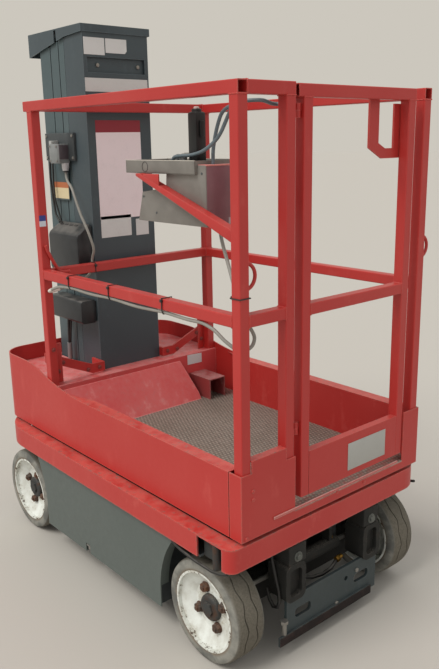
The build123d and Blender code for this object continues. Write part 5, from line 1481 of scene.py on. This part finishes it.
@dataclass
class EntryDress:
    """The entry end's plate with its castings and bolts, the foot strip, the hoses and the hub lead."""

    finishes: Finishes
    face_x: float = -0.671
    plate_x: float = -0.663
    cast_x: float = highest("entry_plate").x

    def rounded(self, y: float, low: float, high: float, width: float, corner: float) -> list:
        """Outline of a rounded rectangle in the plane of the plate.

        Args:
            y: Its middle.
            low: Its lower edge.
            high: Its upper edge.
            width: Its width.
            corner: Radius of its corners.

        Returns:
            Corners as pairs of y and z.
        """
        half = width / 2 - corner
        made = []
        for turn, (cy, cz) in enumerate(((half, high - corner), (-half, high - corner), (-half, low + corner),
                                         (half, low + corner))):
            for k in range(7):
                angle = math.radians(90 * turn + 15 * k)
                made.append((y + cy + corner * math.cos(angle), cz + corner * math.sin(angle)))
        return made

    def plate(self) -> None:
        """Makes the slotted plate, its foot bar and the two cast brackets in place of the plain solid."""
        f = self.finishes
        shaper = Shaper("entry_plate_cast")
        left, right, low, high = 0.189, -0.193, 0.050, 0.170
        holes = [self.rounded(side * 0.125, 0.0985, 0.1275, 0.064, 0.0110) for side in SIDES]
        holes.append(self.rounded(-0.057, 0.123, 0.139, 0.016, 0.0079))
        outline = [(left, low), (left, high), (right, high), (right, low)]
        shaper.sheet([outline, *holes], self.plate_x, self.plate_x + 0.010, Axis.X)
        bar = [(-0.165, 0.040), (0.222, 0.040), (0.222, 0.068), (-0.165, 0.068)]
        shaper.prism(bar, self.plate_x - 0.006, self.plate_x, Axis.X, 0.0012)
        shaper.done("chassis", f.plate, "plate_iron", 35, ("entry_plate",))
        casts = Shaper("entry_castings")
        for side in SIDES:
            y0, y1 = side * 0.155 - 0.033, side * 0.155 + 0.033
            casts.box((self.face_x, y0, 0.272), (self.cast_x, y1, UNDER_DECK_Z), 0.004)
            wall = self.rounded(side * 0.161, 0.160, 0.272, 0.076, 0.022)
            pocket = self.rounded(side * 0.161, 0.175, 0.257, 0.046, 0.0145)
            casts.sheet([wall, pocket], self.face_x, self.face_x + 0.015, Axis.X)
            casts.prism(wall, self.face_x + 0.015, self.cast_x, Axis.X)
        casts.done("chassis", f.axle, "plate_iron", 35, ("entry_plate",))

    def bolts(self) -> None:
        """Makes the bracket bolts and the bolts of the plate."""
        heads = Shaper("bracket_bolts")
        for side in SIDES:
            heads.bolt((self.face_x - 0.0001, side * 0.155, 0.292), TO_ENTRY, (0.0145, 0.0020),
                       (0.0100, 0.0060, 0.0010), 26, 0.0006)
        heads.done("chassis", self.finishes.grey_bolt, "plate_iron")
        small = Shaper("plate_bolts")
        x = self.plate_x - 0.0002
        for y, z in ((-0.103, 0.140), (-0.015, 0.069)):
            small.drum((x, y, z), TO_ENTRY, 0.007, 0.004, 6, 0.0008)
        small.drum((x, 0.2000, 0.112), DOWN, 0.0115, 0.010, 6, 0.001)
        small.drum((x, 0.2000, 0.102), DOWN, 0.0075, 0.034, 18, 0.001)
        small.done("chassis", self.finishes.zinc, "plate_iron")

    def bar(self) -> None:
        """Makes the dark rubbing strip on the foot bar."""
        outline = [(-0.165, 0.0405), (0.222, 0.0405), (0.222, 0.0675), (-0.165, 0.0675)]
        strip = Shaper("foot_strip").prism(outline, -0.6712, -0.6692, Axis.X, 0.0008)
        strip.done("chassis", self.finishes.foot, "plate_iron")

    def hoses(self) -> None:
        """Makes the hoses and fittings of the steering cylinder, and the lead to the left hub."""
        f = self.finishes
        hoses = (
            ([(-0.585, -0.070, 0.2300), (-0.592, -0.074, 0.250), (-0.600, -0.066, 0.268),
              (-0.601, -0.040, 0.280), (-0.592, -0.010, 0.292), (-0.575, 0.010, 0.310),
              (-0.565, 0.015, 0.3285)], 0.0065),
            ([(-0.585, 0.070, 0.2300), (-0.594, 0.078, 0.252), (-0.604, 0.072, 0.272),
              (-0.606, 0.050, 0.288), (-0.598, 0.028, 0.304), (-0.590, 0.022, 0.3285)], 0.0065),
            ([(-0.620, -0.060, 0.168), (-0.628, -0.030, 0.160), (-0.630, 0.010, 0.158),
              (-0.626, 0.050, 0.163), (-0.614, 0.080, 0.172), (-0.600, 0.095, 0.182)], 0.0055),
        )
        shaper = Shaper("steering_hoses")
        for path, radius in hoses:
            shaper.pipe(path, radius)
        shaper.done("chassis", f.hose, "plate_iron", 60)
        fitting = Shaper("brass_fittings")
        for side in SIDES:
            fitting.drum((-0.585, side * 0.070, 0.2255), UP, 0.0095, 0.009, 6, 0.001)
        fitting.drum((-0.622, -0.060, 0.172), (0, -1, 0.25), 0.0095, 0.014, 6, 0.001)
        fitting.drum((-0.622, -0.074, 0.1755), (0, -1, 0.25), 0.0070, 0.010, 16, 0.001)
        fitting.done("chassis", f.brass, "plate_iron")
        loop = [(-0.612, 0.2050, 0.325), (-0.620, 0.2052, 0.290), (-0.634, 0.2052, 0.240),
                (-0.648, 0.2052, 0.195), (-0.650, 0.2052, 0.165), (-0.643, 0.2052, 0.145),
                (-0.628, 0.2052, 0.140), (-0.612, 0.2050, 0.155), (-0.602, 0.2050, 0.185)]
        Shaper("hub_leads").pipe(loop, 0.005).done("chassis", f.hose, "plate_iron", 60)

    def build(self) -> None:
        """Makes everything of the entry end."""
        self.plate()
        self.bolts()
        self.bar()
        self.hoses()


@dataclass
class ChassisDress:
    """Side covers and their latches, and the small parts of the deck, the tray wall and the pins."""

    finishes: Finishes
    cover_y: float = highest("side_cover_left").y
    bottom: float = lowest("side_cover_left").z
    wall_x: float = lowest("rear_panel").x - 0.0001
    pin_z: float = highest("lock_pins").z + 0.0001
    sheet: float = 0.004
    flange: float = 0.030
    rivets: tuple = ((0.322, 0.540), (0.322, 0.517), (0.345, 0.418), (0.005, 0.432), (-0.111, 0.424))

    def arc(self, start: tuple, middle: tuple, end: tuple, steps: int = 14) -> list:
        """Points of a circle's arc through three points of one plane.

        Args:
            start: Its first point.
            middle: A point on its way.
            end: Its last point.
            steps: Number of steps.

        Returns:
            The points, with both ends.
        """
        ax, az, bx, bz, cx, cz = *start, *middle, *end
        d = 2 * (ax * (bz - cz) + bx * (cz - az) + cx * (az - bz))
        a2, b2, c2 = ax * ax + az * az, bx * bx + bz * bz, cx * cx + cz * cz
        ux = (a2 * (bz - cz) + b2 * (cz - az) + c2 * (az - bz)) / d
        uz = (a2 * (cx - bx) + b2 * (ax - cx) + c2 * (bx - ax)) / d
        radius = math.hypot(ax - ux, az - uz)
        first = math.atan2(az - uz, ax - ux)
        sweep = (math.atan2(cz - uz, cx - ux) - first + math.pi) % (2 * math.pi) - math.pi
        turns = [first + sweep * k / steps for k in range(steps + 1)]
        return [(ux + radius * math.cos(turn), uz + radius * math.sin(turn)) for turn in turns]

    def covers(self) -> None:
        """Makes the side covers with their curved arches and turned edges."""
        rear = self.arc((-0.352, 0.150), (-0.368, 0.232), (-0.425, UNDER_DECK_Z))
        front = self.arc((0.312, 0.165), (0.326, 0.246), (0.366, UNDER_DECK_Z))
        notch = [(0.034, self.bottom), (0.034, 0.112), (0.060, 0.112), (0.060, self.bottom)]
        outline = [(-0.352, self.bottom), *notch, (0.312, self.bottom), *front, *rear[::-1]]
        inside = self.cover_y - self.sheet
        for name, side in (("left", 1), ("right", -1)):
            shaper = Shaper(f"side_cover_{name}_arched")
            shaper.sheet([flip(outline)], *span(side, self.cover_y, inside), Axis.Y)
            for curve, shift in ((rear, self.sheet), (front, -self.sheet)):
                band = [*curve, *[(x + shift, z) for x, z in curve[::-1]]]
                shaper.sheet([flip(band)], *span(side, inside, self.cover_y - self.flange), Axis.Y)
            low, high = span(side, 0.3722, inside)
            for x0, x1, z0 in ((-0.338, 0.034, self.bottom), (0.060, 0.306, self.bottom),
                               (-0.338, 0.306, UNDER_DECK_Z - self.sheet)):
                shaper.box((x0, low, z0), (x1, high, z0 + self.sheet))
            shaper.done("chassis", self.finishes.cover, "cover_grey", 30, (f"side_cover_{name}",))

    def ledge_ends(self) -> None:
        """Makes the tapered ends of the tray's inner ledges."""
        shaper = Shaper("ledge_ends")
        for side in SIDES:
            outline = [(0.0602, side * 0.3568), (0.190, side * 0.3568), (0.0602, side * 0.3222)]
            shaper.prism(outline, 0.585, 0.588, Axis.Z, 0.0006)
        shaper.done("platform", self.finishes.tray, "tray_red")

    def latches(self) -> None:
        """Makes the latches of the side covers and the strips over the rear arches."""
        latch = Shaper("cover_latches")
        strip = Shaper("arch_strips")
        for side in SIDES:
            y0, y1 = span(side, 0.378, 0.3812)
            latch.box((0.040, y0, 0.090), (0.054, y1, 0.1115), 0.0008)
            y0, y1 = span(side, 0.379, 0.3845)
            latch.box((0.036, y0, 0.103), (0.058, y1, 0.108), 0.0008)
            strip.pipe([(-0.425, side * 0.391, 0.3265), (-0.464, side * 0.394, 0.319),
                        (-0.530, side * 0.396, 0.314), (-0.598, side * 0.396, 0.314),
                        (-0.632, side * 0.395, 0.320), (-0.652, side * 0.391, 0.3275)], 0.0042, 10)
        latch.done("chassis", self.finishes.zinc, "cover_grey")
        strip.done("chassis", self.finishes.hose, "plate_iron", 60)

    def wall(self) -> None:
        """Makes the rivets of the tray wall and the worn lip over the sill."""
        rivets = Shaper("panel_rivets")
        for y, z in self.rivets:
            rivets.drum((self.wall_x, y, z), TO_ENTRY, 0.0055, 0.0022, 18, 0.0012)
        rivets.done("platform", self.finishes.tray, "tray_red")
        worn = WornPaint("sill_worn", "b5534d", "dba39b", "b9a49e", chips=0.9, scuffs=1.0,
                         ledge=0.9).material()
        lip = Shaper("sill_lip").box((-0.6785, -0.262, 0.4380), (self.wall_x, 0.252, 0.4452), 0.0008)
        lip.done("platform", worn, "tray_red")

    def pins(self) -> None:
        """Makes the bright tops of the lock pins."""
        shaper = Shaper("pin_tops")
        for x, y in ((-0.6045, 0.384), (-0.5465, -0.384)):
            shaper.drum((x, y, self.pin_z), UP, 0.0104, 0.0042, 24, 0.0012)
        shaper.done("chassis", self.finishes.zinc, "pin_rust")

    def build(self) -> None:
        """Makes everything of the chassis, the tray wall and the ledges."""
        self.covers()
        self.ledge_ends()
        self.latches()
        self.wall()
        self.pins()


def main() -> None:
    """Builds the studio, the finishes and the fittings in order."""
    logging.basicConfig(level=logging.INFO, format="%(message)s")
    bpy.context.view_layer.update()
    Studio().build()
    finishes = Finishes()
    for dress in (Solids, WheelDress, MastDress, RailDress, SideDress, CableDress, ConsoleDress,
                  EntryDress, ChassisDress):
        dress(finishes).build()
    bpy.context.view_layer.update()


if __name__ == "__main__":
    main()
